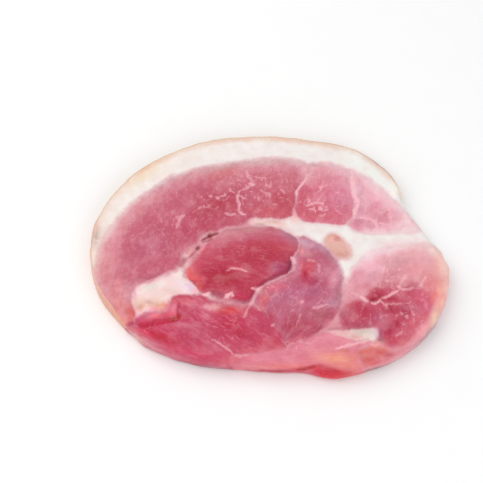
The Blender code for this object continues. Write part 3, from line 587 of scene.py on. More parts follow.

# Folds and slits: depth, half width, darkness, colour, and the places each one runs through.
# The darkness and colour are painted shade in each crease, partly the meat's own darker red
# there; the lines under the flap's front edge and at the wedge's right end are painted shadow.
CUTS = [
    (0.7, 1.7, 1.0, "bc083e", [(-73, -42.6), (-69.5, -43), (-66, -42.4), (-63, -41.2),
                               (-59.5, -40.4), (-55.5, -39.6), (-51.5, -38.9)]),
    (0.4, 1.2, 0.8, "b84a66", [(-79.5, -42.2), (-76, -41.9), (-72, -42.6)]),
    (0.5, 1.4, 0.9, "b80c3e", [(-68.5, -43.6), (-66, -42.6), (-64, -40.6)]),
    (0.3, 2.8, 0.4, "cc3858", [(-72, -41.6), (-67, -42.4), (-60, -39.6), (-53, -37.6)]),
    (0.15, 1.4, 1.0, "b80a44", [(-55, -39.4), (-52.6, -39), (-51, -37.8), (-50.7, -35.6)]),
    (0.3, 0.8, 0.5, "c03c5c", [(-50.9, -35.5), (-50.9, -32), (-50.6, -28.5)]),
    (0.4, 1.8, 0.5, "c02a4c", [(-65, -47), (-62, -50), (-58, -51.5), (-50, -54)]),
    (0.7, 0.8, 0.9, "9c2448", [(-38.3, 12), (-36, 13.6), (-33.8, 15.2), (-31.5, 16.3), (-29.5, 16.9)]),
    (0.8, 1.2, 1.0, "98103e", [(-35, 14.6), (-33, 15.7)]),
    (0.4, 0.7, 0.7, "b04a60", [(-34.5, 14), (-33.3, 12.6), (-35.5, 11.6), (-38, 10.8)]),
    (0.6, 1.0, 0.95, "982848", [(-41.4, 5.6), (-41, 6.6), (-40.6, 7.8)]),
    (0.2, 0.6, 0.6, "b45c6a", [(-47, 0), (-45, 1.6), (-43, 3.6), (-41.4, 5)]),
    (0.3, 1.4, 0.7, "b4626e", [(-51, -4.8), (-49.5, -2.6), (-47.6, 0)]),
    (0.3, 1.1, 0.5, "8a3a55", [(12.8, -2), (11.8, -7.5), (5, -11.8), (0, -14.2), (-6, -18.5)]),
    (0.3, 1.3, 0.6, "a04c60", [(-32, -22.4), (-29, -23.6), (-26, -24.8)]),
    (0.3, 1.1, 0.4, "984060", [(-7.5, -22), (-9.5, -24), (-12, -28), (-19, -28)]),
    (0.5, 1.3, 0.5, "a02c46", [(57, -27.3), (60, -27), (64, -24.5)]),
    (0.4, 0.9, 0.5, "ab5a78", [(61.7, -44.5), (62.3, -48), (60.5, -52)]),
    (0.3, 0.9, 0.3, "a04c60", [(32, -45.2), (42, -45.2), (52, -44), (58, -42.8)]),
    (0.8, 0.9, 0.9, "b41c40", [(15, -71), (19, -70.3), (22, -69), (25, -68.2)]),
    (0.5, 0.9, 0.7, "c03448", [(25, -68.2), (29, -68.6), (33, -70), (38, -71.2)]),
    (0.5, 0.9, 0.4, "b98878", [(38.5, 12.8), (41.5, 12.2)]),
]

# The side under the flap: a muscle end that bulges out. Its centre and reach are in X and Z.
BULGE_CENTRE = (33.0, 3.6)
BULGE_REACH = (13.0, 3.4)
BULGE_OUT = 2.2

# The skin's outer face, as ovals over plain golden skin.
RIND_TONE = "cf9f6c"
RIND_SPOTS = [
    ("f0b8a8", -99, -14, 26, 12, 95, 1.0), ("f2a898", -88, -36, 16, 8, -50, 1.0),
    ("f2c8b8", -98, 26, 20, 10, 65, 0.85), ("e6c49c", -60, 74, 34, 8, 32, 0.85),
    ("e6c496", -5, 87, 34, 7, 0, 0.8), ("9a705c", 68, 68, 13, 5, -45, 0.95),
    ("cbb07c", 79, 48, 5, 5, 0, 0.8),
]


# -------------------- curves and fields
def smooth_curve(points, closed):
    """Points along a Catmull-Rom curve through the drawn points."""
    drawn = np.array(points, float)
    before, after = (drawn[-1:], drawn[:2]) if closed else (drawn[:1], drawn[-1:])
    padded = np.concatenate([before, drawn, after])
    spans = len(drawn) if closed else len(drawn) - 1
    part = np.arange(CURVE_STEPS)[:, None] / CURVE_STEPS
    curve = []
    for i in range(spans):
        a, b, c, d = padded[i:i + 4]
        bend = 2 * a - 5 * b + 4 * c - d
        twist = 3 * b - 3 * c + d - a
        curve.append(b + 0.5 * part * (c - a + part * (bend + part * twist)))
    if not closed:
        curve.append(drawn[-1:])
    return np.concatenate(curve)


def skin_line():
    """The part of the outline that the skin covers."""
    return smooth_curve(OUTLINE, True)[:RIND_END * CURVE_STEPS + 1]


def unit(vectors):
    """Vectors brought to a length of 1."""
    return vectors / np.hypot(*vectors.T)[:, None]


def close_to(curve, places, reach):
    """Whether each place lies in the box round a curve, widened by a reach."""
    return ((places > curve.min(0) - reach) & (places < curve.max(0) + reach)).all(1)


def nearest(line, places, closed=False):
    """The distance of each place from a line, and how far along the line, from 0 to 1."""
    start = line if closed else line[:-1]
    run = (np.roll(line, -1, axis=0) if closed else line[1:]) - start
    square = np.maximum((run * run).sum(1), TINY)
    away, along = np.empty(len(places)), np.empty(len(places))
    for k in range(0, len(places), BATCH):
        off = places[k:k + BATCH, None, :] - start[None]
        share = np.clip((off * run).sum(2) / square, 0, 1)
        squares = ((off - share[..., None] * run) ** 2).sum(2)
        best = squares.argmin(1)
        rows = np.arange(len(best))
        away[k:k + BATCH] = np.sqrt(squares[rows, best])
        along[k:k + BATCH] = (best + share[rows, best]) / len(start)
    return away, along


def within(loop, places):
    """Whether each place lies inside a closed loop."""
    ends = np.roll(loop, -1, axis=0)
    inside = np.zeros(len(places), bool)
    x, y = places.T
    for (ax, ay), (bx, by) in zip(loop, ends):
        if ay != by:
            straddles = (ay > y) != (by > y)
            inside ^= straddles & (x < ax + (y - ay) * (bx - ax) / (by - ay))
    return inside


def depth_inside(points, places):
    """How far each place lies inside a drawn loop; negative outside it, and never under -FAR."""
    loop = smooth_curve(points, True)
    close = close_to(loop, places, FAR)
    depth = np.full(len(places), -FAR)
    near = places[close]
    away = nearest(loop, near, closed=True)[0]
    depth[close] = np.where(within(loop, near), away, np.maximum(-away, -FAR))
    return depth


def from_outline(places):
    """How far inside the outline each place lies, in whole millimetres."""
    return np.trunc(depth_inside(OUTLINE, places))


def line_cover(points, places, half_width):
    """How far inside a drawn line each place lies, in half widths; the line thins at its ends."""
    line = smooth_curve(points, False)
    close = close_to(line, places, 2 - NO_LINE * half_width)
    cover = np.full(len(places), NO_LINE)
    away, along = nearest(line, places[close])
    from_end = np.clip(np.minimum(along, 1 - along) * LINE_ENDS, 0, 1)
    full = LINE_END_WIDTH + (1 - LINE_END_WIDTH) * np.sqrt(from_end)
    cover[close] = np.maximum(full - away / half_width, NO_LINE)
    return cover


def step(value, low, high):
    """0 below low, 1 above high, and smooth between."""
    share = np.clip((value - low) / (high - low), 0, 1)
    return share * share * (3 - 2 * share)


def bulging(depth, edge, middle):
    """How far a part has risen at a depth inside it: most of it by its edge, the rest by its middle."""
    return 0.6 * step(depth, -0.6, edge) + 0.4 * step(depth, 0, middle)


def lumps(places, size, seed):
    """Smooth random lumps about `size` wide, between -1 and 1, alike in each run."""
    count = 64
    table = np.random.default_rng(seed).uniform(-1, 1, (count, count))
    spot = places / size
    cell = np.floor(spot).astype(int)
    part = spot - cell
    part = part * part * (3 - 2 * part)
    i, j = cell.T % count
    i2, j2 = (i + 1) % count, (j + 1) % count
    low = table[i, j] * (1 - part[:, 0]) + table[i2, j] * part[:, 0]
    high = table[i, j2] * (1 - part[:, 0]) + table[i2, j2] * part[:, 0]
    return low * (1 - part[:, 1]) + high * part[:, 1]


def layered(places, layers):
    """Lumps laid over each other; each layer has its height, size and seed."""
    return sum(height * lumps(places, size, seed) for height, size, seed in layers)


def fray(places, amount):
    """The places pushed about a little, so that no drawn line stays smooth."""
    return places + amount * np.stack([layered(places, FRAY_X), layered(places, FRAY_Y)], 1)


# -------------------- colours
def screen(code):
    """A colour written in hex, as screen values from 0 to 1."""
    return np.array([int(code[k:k + 2], 16) for k in (0, 2, 4)]) / 255


def linear(colour):
    """Screen values as linear light, by the sRGB curve."""
    colour = np.asarray(colour, float)
    return np.where(colour > 0.04045, ((colour + 0.055) / 1.055) ** 2.4, colour / 12.92)


def rgba(code):
    """A hex colour as a shader's colour value."""
    return (*linear(screen(code)), 1.0)


def colours(tones):
    """Screen colours as linear RGBA, less the light that the moist gloss adds to them."""
    under_gloss = np.maximum(linear(np.clip(tones, 0, 1)) - GLOSS_VEIL, DARKEST)
    return np.column_stack([under_gloss, np.ones(len(tones))])


def plain(tone, places):
    """One colour at every place."""
    return np.tile(screen(tone), (len(places), 1))


def lay(tones, tone, share):
    """Blend one colour over an array of them."""
    tones += share[:, None] * (screen(tone) - tones)


def oval(places, x, y, along_reach, across_reach, turn):
    """A soft oval: 1 in its middle, fading to 0 over its reaches."""
    turn = np.radians(turn)
    dx, dy = places[:, 0] - x, places[:, 1] - y
    along = (dx * np.cos(turn) + dy * np.sin(turn)) / along_reach
    across = (dy * np.cos(turn) - dx * np.sin(turn)) / across_reach
    return np.exp(-(along ** 2 + across ** 2))


def lay_spots(tones, places, spots):
    """Blend soft ovals of colour over an array of colours."""
    for tone, *where, strength in spots:
        lay(tones, tone, strength * oval(places, *where))


def add_ovals(places, ovals):
    """The sum of soft ovals, each with its amount."""
    return sum(amount * oval(places, *where) for amount, *where in ovals)


# -------------------- reading the drawing
def grain_run(kind, places):
    """Coordinates along and across the fibres, in millimetres."""
    form, where, stretch = kind
    if form == "along":
        turn = np.radians(where)
        along = places @ np.array([np.cos(turn), np.sin(turn)])
        across = places @ np.array([-np.sin(turn), np.cos(turn)])
    else:
        off = places - np.array(where, float)
        along = np.hypot(*off.T)
        across = np.arctan2(off[:, 1], off[:, 0]) * FAN_REACH
    return np.stack([along / stretch, across], axis=1)


def read_lean(places, from_edge):
    """The muscles at each place: depth in the first and the second, rise, cells, colour, fibres."""
    count = len(places)
    lean, second = np.full((2, count), -FAR)
    rise, cells = np.zeros((2, count))
    tones = plain(LEAN_TONE, places)
    grain = np.zeros((count, 2))
    for number, part in enumerate(LEAN.values()):
        depth = depth_inside(part["loop"], places)
        own = plain(part["tone"], places)
        own_grain = grain_run(part["grain"], places)
        for tone, softness, strength, run, loop in part.get("washes", []):
            wash_depth = depth_inside(loop, places)
            lay(own, tone, strength * step(wash_depth, -softness, softness))
            washed = wash_depth > 0
            own_grain[washed] = grain_run(run, places[washed])
        for tone, reach, strength in part.get("edges", []):
            near_edge = step(from_edge, EDGES_FAR, EDGES_NEAR)
            lay(own, tone, strength * step(depth, reach, 0) * near_edge)
        lay_spots(own, places, part["spots"])
        share = step(depth - lean, -MEETING, MEETING)[:, None]
        tones = tones * (1 - share) + own * share
        mine = depth > lean
        cells[mine] = part["cells"]
        grain[mine] = own_grain[mine] + np.array([0, GRAIN_APART * number])
        rise += part["rise"] * bulging(depth, 2.2, 9)
        second = np.where(mine, lean, np.maximum(second, depth))
        lean = np.maximum(lean, depth)
    return dict(lean=lean, second=second, rise=rise, cells=cells, tones=tones, grain=grain)


def read_fat(places, frayed):
    """The colour of the fat, how deep inside a white pad each place is, and the pads' rise."""
    fat = plain(FAT_TONE, places)
    from_skin = nearest(skin_line(), frayed)[0]
    lay(fat, GLOW_TONE, GLOW_STRENGTH * step(from_skin, GLOW_FAR, GLOW_NEAR))
    lay_spots(fat, places, FAT_SPOTS)
    white, rise = np.full(len(places), -FAR), np.zeros(len(places))
    for pad in PADS:
        depth = depth_inside(pad["loop"], frayed)
        own = plain(pad["tone"], places)
        lay_spots(own, places, pad["spots"])
        share = step(depth, -1.2, 0.6)[:, None]
        fat = fat * (1 - share) + own * share
        rise += pad["rise"] * bulging(depth, 1.8, 8)
        white = np.maximum(white, depth)
    return fat, white, rise


def close_seams(read, fat, white):
    """Narrow the seams between the muscles, keep the lean out of the pads, and tint their borders."""
    second = read.pop("second")
    gap = -(read["lean"] + np.maximum(second, white))
    off_white = step(white, 0.5, -0.5)
    seam = step(gap, SEAM_WIDE, SEAM_NARROW) * off_white
    lay(fat, SEAM_TONE, SEAM_TINT * seam)
    lay(fat, SEAM_TONE, BORDER_TINT * step(read["lean"], -BORDER_REACH, -0.2) * off_white)
    lean = read["lean"] + SEAM_CLOSING * seam * np.clip(gap, 0, 5)
    read["lean"] = np.minimum(lean, np.maximum(-white, -3.0))


def read_veins(places):
    """The thin lines of fat: how far inside one each place is, and how strong it is there."""
    vein, strength = np.full(len(places), NO_LINE), np.zeros(len(places))
    for half_width, own_strength, points in VEINS:
        cover = line_cover(points, places, half_width)
        stronger = np.clip(cover + 1, 0, 1) * own_strength > np.clip(vein + 1, 0, 1) * strength
        vein = np.where(stronger, cover, vein)
        strength = np.where(stronger, own_strength, strength)
    return vein, strength


def read_cuts(places):
    """Folds and slits: how far they dent the top between raised lips, and their painted shade's darkness
    and colour.
    """
    dent, cut = np.zeros((2, len(places)))
    tones = plain(CUTS[0][3], places)
    for depth, half_width, darkness, tone, points in CUTS:
        cover = line_cover(points, places, half_width)
        off = np.clip(1 - cover, 0, 9)
        lip = CUT_LIP * np.exp(-1.5 * (off - 2.4) ** 2)
        dent += depth * (np.exp(-1.3 * off ** 2) - lip)
        # Painted shade in the crease: how strongly its darker colour is laid, and which colour.
        share = step(cover, -1.1, 0.7)
        lay(tones, tone, step(share, 0.05, 0.3))
        cut = np.maximum(cut, darkness * share)
    return dent, cut, tones


def read_drawing(places):
    """What the drawing says at each place: heights, masks, colours and the run of the fibres."""
    frayed = fray(places, FRAYED_BORDERS)
    read = read_lean(frayed, from_outline(places))
    fat, white, pad_rise = read_fat(places, frayed)
    close_seams(read, fat, white)
    vein, vein_strength = read_veins(fray(places, FRAYED_VEINS))
    # The folds' dents, and the painted shade in them with its colours.
    dent, cut, cut_tones = read_cuts(fray(places, FRAYED_CUTS))
    read["rise"] += pad_rise - dent
    read.update(fat=fat, soft=SOFT + add_ovals(places, SOFT_SPOTS), vein=vein,
                marbled=np.clip(add_ovals(places, MARBLED), 0, 1), vein_strength=vein_strength,
                cut=cut, cut_tones=cut_tones)
    return read


def top_height(places, read):
    """Height of the top face, with the fine relief of fibres, cells and fat."""
    wave = places / np.array(SWELL_WAVES)
    height = THICKNESS + SWELL * np.sin(wave[:, 0]) * np.cos(wave[:, 1]) + read["rise"]
    is_lean = step(read["lean"], -0.5, 1.0)
    fibres = layered(read["grain"], FIBRE_LUMPS) * (0.5 + 0.5 * read["cells"])
    sunk = VEIN_DEPTH * read["vein_strength"] * step(read["vein"], -0.5, 0.8)
    return height + layered(places, TOP_LUMPS) + is_lean * FIBRE_HEIGHT * fibres - sunk


# -------------------- the outline and its rim
def evenly_spaced(line, count, closed):
    """Points at equal steps along a line, from its first point."""
    ring = np.concatenate([line, line[:1]]) if closed else line
    along = np.concatenate([[0], np.cumsum(np.hypot(*np.diff(ring, axis=0).T))])
    wanted = np.linspace(0, along[-1], count, endpoint=not closed)
    return np.stack([np.interp(wanted, along, ring[:, k]) for k in (0, 1)], axis=1)


def outward(loop):
    """The direction out of the slice at each point of a clockwise loop."""
    span = 3                  # points to each side, so that the direction is steady
    run = np.roll(loop, -span, axis=0) - np.roll(loop, span, axis=0)
    return unit(np.stack([-run[:, 1], run[:, 0]], axis=1))


def clock(disc):
    """The turn of each place of the disc, clockwise from its top."""
    return np.arctan2(disc[:, 0], disc[:, 1]) % FULL_TURN


def around(turn, ring_turn, ring):
    """Points of a closed ring read at any turn, straight between its own points."""
    order = np.argsort(ring_turn)
    turns = np.concatenate([ring_turn[order[-1:]] - FULL_TURN, ring_turn[order],
                            ring_turn[order[:1]] + FULL_TURN])
    points = np.concatenate([ring[order[-1:]], ring[order], ring[order[:1]]])
    return np.stack([np.interp(turn, turns, points[:, k]) for k in (0, 1)], axis=1)


def rind_line():
    """Evenly spaced points along the skin, and its length."""
    line = skin_line()
    return evenly_spaced(line, RIND_STEPS, False), np.hypot(*np.diff(line, axis=0).T).sum()


def rind_taper(along, length):
    """How full the skin's thickness is: it thins out to nothing at both ends."""
    return np.sin(np.clip(np.minimum(along, length - along) / RIND_TAPER, 0, 1) * QUARTER_TURN)


def rim_outline(disc_rim):
    """The outline at the rim points of the disc, and how full the rind is at each of them."""
    loop = smooth_curve(OUTLINE, True)
    from_top = np.roll(loop, -loop[:, 1].argmax(), axis=0)
    even = evenly_spaced(from_top, 2 * len(disc_rim), True)
    even_turn = np.arange(len(even)) / len(even) * FULL_TURN
    rim = around(clock(disc_rim), even_turn, even)
    line, length = rind_line()
    away, along = nearest(line, rim)
    return rim, np.where(away < RIND_THICK, rind_taper(along * length, length), 0)


# -------------------- the meat's mesh
def disc_grid(cells_x, cells_y):
    """A grid of cells bent into the unit disc, and its rim in clockwise order."""
    u, v = np.meshgrid(np.linspace(-1, 1, cells_x + 1), np.linspace(-1, 1, cells_y + 1))
    disc = np.stack([u * np.sqrt(1 - v * v / 2), v * np.sqrt(1 - u * u / 2)], axis=2)
    index = np.arange(disc.shape[0] * disc.shape[1]).reshape(disc.shape[:2])
    rim = np.concatenate([index[:-1, 0], index[-1, :-1], index[:0:-1, -1], index[0, :0:-1]])
    return disc.reshape(-1, 2), index, rim


def fill(disc, rim, edge):
    """The places of a disc stretched to fill a closed edge."""
    middle = edge.mean(0)
    reach = around(clock(disc), clock(disc[rim]), edge) - middle
    places = middle + reach * np.hypot(*disc.T)[:, None]
    places[rim] = edge
    return places


def grid_faces(index):
    """The four corners of each cell, counter-clockwise."""
    return np.stack([index[:-1, :-1], index[:-1, 1:], index[1:, 1:], index[1:, :-1]],
                    axis=2).reshape(-1, 4)


def ring_faces(above, below):
    """The faces between two rings of a clockwise side."""
    return np.stack([above, np.roll(above, -1), np.roll(below, -1), below], axis=1)


def seam_faces(fine, coarse):
    """Triangles between a ring and one of half as many points below it."""
    first, middle, last = fine[::2], fine[1::2], np.roll(fine, -2)[::2]
    after = np.roll(coarse, -1)
    sets = ([first, middle, coarse], [middle, after, coarse], [middle, last, after])
    return np.concatenate([np.stack(corners, 1) for corners in sets])


def edge_rounding(rind):
    """How far the top edge is rounded in and down: little beside the rind, softly elsewhere."""
    return (TOP_EDGE_IN + (FAT_EDGE - TOP_EDGE_IN) * rind,
            TOP_EDGE_DOWN + (FAT_EDGE - TOP_EDGE_DOWN) * rind)


def top_sheet(top):
    """The top face's points, and what the drawing says there."""
    read = read_drawing(top)
    return np.column_stack([top, top_height(top, read)]), read


def side_rows(rounding, drop, rim_height):
    """How far in and how high each row down the side lies, from the top edge to the base."""
    rows = []
    for k in range(1, TOP_ROUND_ROWS + 1):
        bend = k / TOP_ROUND_ROWS * QUARTER_TURN
        rows.append((rounding * (1 - np.sin(bend)), rim_height - drop * (1 - np.cos(bend))))
    for k in range(1, WALL_ROWS + 1):
        down = k / WALL_ROWS
        rows.append((0 * drop, (1 - down) * (rim_height - drop) + down * BASE_EDGE))
    for k in range(1, BASE_ROUND_ROWS + 1):
        bend = k / BASE_ROUND_ROWS * QUARTER_TURN
        rows.append((0 * drop + BASE_EDGE * (1 - np.cos(bend)),
                     0 * drop + BASE_EDGE * (1 - np.sin(bend))))
    return rows


def side_push(outline, z, unfolded):
    """How far the side stands out at a height: the bulge under the flap, and uneven lumps."""
    across = (outline[:, 0] - BULGE_CENTRE[0]) / BULGE_REACH[0]
    up = (z - BULGE_CENTRE[1]) / BULGE_REACH[1]
    bulge = np.where(outline[:, 1] < FRONT_Y, BULGE_OUT * np.exp(-across ** 2 - up ** 2), 0)
    return bulge + layered(unfolded, SIDE_LUMPS)


def side_sheets(outline, rind, body, rim_height):
    """The rings of points down the side, each with what the drawing says there."""
    out = outward(outline)
    rounding, drop = edge_rounding(rind)
    for inset, z in side_rows(rounding, drop, rim_height):
        down = rim_height - z
        unfolded = body + out * (UNFOLD * down - inset)[:, None]
        read = read_drawing(unfolded)
        free = np.clip(z / BASE_EDGE, 0, 1) * np.clip(down / EDGE_CALM, 0, 1) * (1 - rind)
        dent = np.clip(-read["rise"], 0, DEEPEST_DENT)
        push = (side_push(outline, z, unfolded) - dent) * free
        yield np.column_stack([body + out * (push - inset)[:, None], z]), read


def under_sheet(under):
    """The underside: the same cut seen from below, a little drifted and hollowed."""
    from_edge = from_outline(under)
    drift = np.stack([layered(under, DRIFT_X), layered(under, DRIFT_Y)], 1)
    read = read_drawing(under + drift * step(from_edge, *DRIFT_FADE)[:, None])
    hollow = UNDER_HOLLOW + layered(under, UNDER_LUMPS) - 0.2 * step(read["lean"], -0.5, 2)
    hollow += 0.5 * np.clip(-read["rise"], 0, 2)
    height = np.clip(hollow, 0, 2) * step(from_edge, *HOLLOW_FADE)
    return np.column_stack([under, height]), read


def build_meat():
    """The closed meat: its points in drawing millimetres, its faces, and the drawing there."""
    disc, index, rim = disc_grid(CELLS_X, CELLS_Y)
    outline, rind = rim_outline(disc[rim])
    out = outward(outline)
    body = outline - out * ((RIND_THICK - RIND_OVERLAP) * rind)[:, None]
    sheets = [top_sheet(fill(disc, rim, body - out * edge_rounding(rind)[0][:, None]))]
    faces = [grid_faces(index)]
    above = rim
    made = len(disc)
    for sheet in side_sheets(outline, rind, body, sheets[0][0][rim, 2]):
        sheets.append(sheet)
        below = made + np.arange(len(rim))
        faces.append(ring_faces(above, below))
        above = below
        made += len(rim)

    # The underside has half as many cells each way, so triangles join it to the side.
    disc, index, rim = disc_grid(CELLS_X // 2, CELLS_Y // 2)
    edge = (body - out * (BASE_EDGE + UNDER_EDGE))[::2]
    sheets.append(under_sheet(fill(disc, rim, edge)))
    faces.append(grid_faces(index + made)[:, ::-1])
    faces.append(seam_faces(above, rim + made))
    points, reads = zip(*sheets)
    merged = {key: np.concatenate([read[key] for read in reads]) for key in reads[0]}
    return np.concatenate(points), faces, merged


# -------------------- the rind's mesh
def rind_section(thick, high_z):
    """One ring across the rind: depth inwards and height, from the top over the outer face."""
    bends = [k / (RIND_TOP_POINTS - 1) * QUARTER_TURN for k in range(RIND_TOP_POINTS)]
    corner = [(1 - np.sin(bend) ** 1.2, RIND_ROUND * (1 - np.cos(bend)) ** 1.6) for bend in bends]
    section = []
    for inner, drop in corner:
        section.append((thick * inner, high_z - drop - RIND_SUNK * step(inner, 0.4, 1.0)))
    for k in range(1, RIND_WALL_POINTS):
        down = k / RIND_WALL_POINTS
        section.append((0 * thick, (1 - down) * (high_z - RIND_ROUND) + down * RIND_ROUND))
    for inner, drop in reversed(corner):
        section.append((thick * inner, 0 * thick + drop))
    return section


def build_rind():
    """The strip of skin along the back edge, in drawing millimetres."""
    line, length = rind_line()
    run = np.gradient(line, axis=0)
    out = unit(np.stack([-run[:, 1], run[:, 0]], 1))
    along = np.linspace(0, length, RIND_STEPS)
    flat = np.stack([along, np.zeros(RIND_STEPS)], 1)
    taper = rind_taper(along, length)
    thick = RIND_THICK * np.maximum(taper, RIND_THINNEST) * (1 + layered(flat, RIND_THICK_LUMPS))

    inner = line - out * thick[:, None]
    read = read_drawing(inner)
    high_z = top_height(inner, read) + RIND_PROUD * taper - TOP_EDGE_DOWN * (1 - taper)
    high_z += layered(flat, RIND_TOP_LUMPS)
    points, outer = [], []
    for inset, z in rind_section(thick, high_z):
        skin = np.stack([along, z], 1)
        wrinkle = layered(skin * WRINKLE_STRETCH, WRINKLES) + layered(skin, CREASES)
        push = wrinkle * (1 - inset / thick) * taper
        points.append(np.column_stack([line + out * (push - inset)[:, None], z]))
        outer.append(1 - inset / thick)
    ring, steps = len(points), len(line)
    index = np.arange(ring * steps).reshape(ring, steps)
    faces = [grid_faces(np.concatenate([index, index[:1]])),
             np.stack([index[:, 0], index[::-1, -1]])]
    return dict(points=np.concatenate(points), faces=faces, places=np.tile(line, (ring, 1)),
                outer=np.concatenate(outer), along=np.tile(along, ring),
                fat=np.tile(read["fat"], (ring, 1)))


# -------------------- materials
class Tree:
    """Short names for building one material's nodes."""

    def __init__(self, name):
        self.material = bpy.data.materials.new(name)
        self.material.use_nodes = True
        self.tree = self.material.node_tree

    def feed(self, node, values):
        """Give a node's inputs, by name or number, another node's output or a constant."""
        for key, value in values.items():
            if isinstance(value, bpy.types.NodeSocket):
                self.tree.links.new(value, node.inputs[key])
            else:
                node.inputs[key].default_value = value

    def surface(self, values):
        """Set the shader's own inputs."""
        self.feed(self.tree.nodes["Principled BSDF"], values)

    def node(self, kind, values, **settings):
        """The outputs of a new node."""
        node = self.tree.nodes.new(kind)
        for key, value in settings.items():
            setattr(node, key, value)
        self.feed(node, values)
        return node.outputs

    def attribute(self, name, output="Fac"):
        """A value of the mesh."""
        return self.node("ShaderNodeAttribute", {}, attribute_name=name)[output]

    def place(self):
        """The place on the object, in metres."""
        return self.node("ShaderNodeTexCoord", {})["Object"]

    def math(self, operation, a, b):
        """A sum, difference or product of two values."""
        return self.node("ShaderNodeMath", {0: a, 1: b}, operation=operation)[0]

    def times(self, first, *others):
        """The product of several values."""
        for value in others:
            first = self.math("MULTIPLY", first, value)
        return first

    def ramp(self, value, low, high, start=0.0, end=1.0):
        """A smooth change from start to end while the value goes from low to high."""
        values = dict(enumerate((value, low, high, start, end)))
        return self.node("ShaderNodeMapRange", values, interpolation_type="SMOOTHSTEP")[0]

    def mix(self, share, a, b, blend="MIX"):
        """Colour b over colour a, by a share."""
        values = {0: share, 6: a, 7: b}
        return self.node("ShaderNodeMix", values, data_type="RGBA", blend_type=blend)[2]

    def clouds(self, vector, scale, detail=2.0, roughness=0.5, distortion=0.0):
        """The outputs of a node of soft random clouds."""
        values = dict(Vector=vector, Scale=scale, Detail=detail, Roughness=roughness,
                      Distortion=distortion)
        return self.node("ShaderNodeTexNoise", values)

    def noise(self, *settings):
        """The value of a node of clouds."""
        return self.clouds(*settings)[0]

    def cells(self, vector, scale, feature):
        """The distances of a pattern of cells."""
        values = dict(Vector=vector, Scale=scale)
        return self.node("ShaderNodeTexVoronoi", values, feature=feature)["Distance"]

    def shift(self, vector, amount, scale):
        """The vector moved by the colour of clouds times an amount."""
        values = {0: self.clouds(vector, scale)["Color"], 1: (amount,) * 3, 2: vector}
        return self.node("ShaderNodeVectorMath", values, operation="MULTIPLY_ADD")[0]

    def bump(self, height, distance, strength, under=None):
        """A normal tilted by a height, over another normal if there is one."""
        values = dict(Height=height, Distance=distance, Strength=strength)
        if under is not None:
            values["Normal"] = under
        return self.node("ShaderNodeBump", values)[0]


def lean_colour(t, grain, place, fibres):
    """Lean: wide drifts of colour, darker and paler bundles of fibres, and pale flecks of fat."""
    tone = t.attribute("tone", "Color")
    cells = t.attribute("cells")
    deep = t.mix(1.0, tone, rgba("f3dadf"), "MULTIPLY")
    pale = t.mix(0.26, tone, rgba("f8ccd2"))
    wide = t.noise(place, 110, 2, 0.5)
    lean = t.mix(t.ramp(wide, 0.56, 0.36, 0.0, 0.5), tone, deep)
    lean = t.mix(t.ramp(wide, 0.50, 0.68, 0.0, 0.4), lean, pale)
    bundles = t.noise(grain, 0.40, 3, 0.55)
    lean = t.mix(t.times(t.ramp(bundles, 0.50, 0.32), cells), lean, deep)
    lean = t.mix(t.times(t.ramp(bundles, 0.50, 0.68), cells, 0.7), lean, pale)
    lean = t.mix(t.ramp(fibres, 0.50, 0.34, 0.0, 0.3), lean, deep)
    lean = t.mix(t.ramp(fibres, 0.52, 0.70, 0.0, 0.3), lean, pale)
    flecks = t.ramp(t.noise(t.shift(grain, 0.8, 0.9), 0.50, 1, 0.5), 0.64, 0.74)
    some = t.ramp(t.noise(grain, 0.13, 1, 0.5), 0.46, 0.60)
    lean = t.mix(t.times(flecks, some, cells, 0.45), lean, rgba(VEIN_TONE))
    web = t.ramp(t.cells(t.shift(place, 0.005, 140), 170, "DISTANCE_TO_EDGE"), 0.11, 0.02)
    broken = t.ramp(t.noise(place, 300, 2, 0.55), 0.48, 0.64)
    return t.mix(t.times(web, broken, t.attribute("marbled"), 0.7), lean, rgba(VEIN_TONE))


def fat_colour(t, place):
    """Fat: nearly even, with faint cloudy lobes."""
    cloud = t.noise(place, 150, 3, 0.6)
    fat = t.mix(t.ramp(cloud, 0.48, 0.68, 0.0, 0.35), t.attribute("fat", "Color"), rgba("faf5f1"))
    return t.mix(t.ramp(cloud, 0.50, 0.32, 0.0, 0.30), fat, rgba("e6cfc8"))


def meat_material():
    """Moist cured lean and fat: ragged borders, veins, folds with painted shade, fibres, a soft shine."""
    t = Tree("gammon_meat")
    grain = t.attribute("grain", "Vector")
    place = t.place()
    fibres = t.noise(grain, 1.5, 3, 0.6)
    beads = t.noise(place, 620, 2, 0.6)
    ragged = t.times(t.math("SUBTRACT", beads, 0.5), 0.9)
    lean_share = t.ramp(t.math("ADD", t.attribute("lean"), ragged), -1.0, 1.0)
    colour = t.mix(lean_share, fat_colour(t, place), lean_colour(t, grain, place, fibres))
    beaded = t.times(t.math("SUBTRACT", beads, 0.55), 3.2)
    vein_share = t.ramp(t.math("ADD", t.attribute("vein"), beaded), -1.2, 0.7)
    colour = t.mix(t.times(vein_share, t.attribute("vein_strength")), colour, rgba(VEIN_TONE))
    # Painted shade in the folds and slits: their darker colour laid over the rest.
    crease_shade_share = t.times(t.attribute("cut"), t.ramp(beads, 0.25, 0.55, 0.75, 1.0))
    colour = t.mix(crease_shade_share, colour, t.attribute("crease_shade_tone", "Color"))
    grit = t.bump(t.noise(place, 1400, 2, 0.6), 0.0001, 0.5)
    t.surface({
        "Base Color": colour,
        "Roughness": t.ramp(t.noise(place, 260, 3, 0.6), 0.3, 0.7, 0.34, 0.50),
        "IOR": 1.38,
        "Subsurface Weight": 0.22,
        "Subsurface Radius": (1.0, 0.35, 0.25),
        "Subsurface Scale": 0.0022,
        "Normal": t.bump(t.times(fibres, lean_share), 0.0003, 0.5, grit),
    })
    return t.material


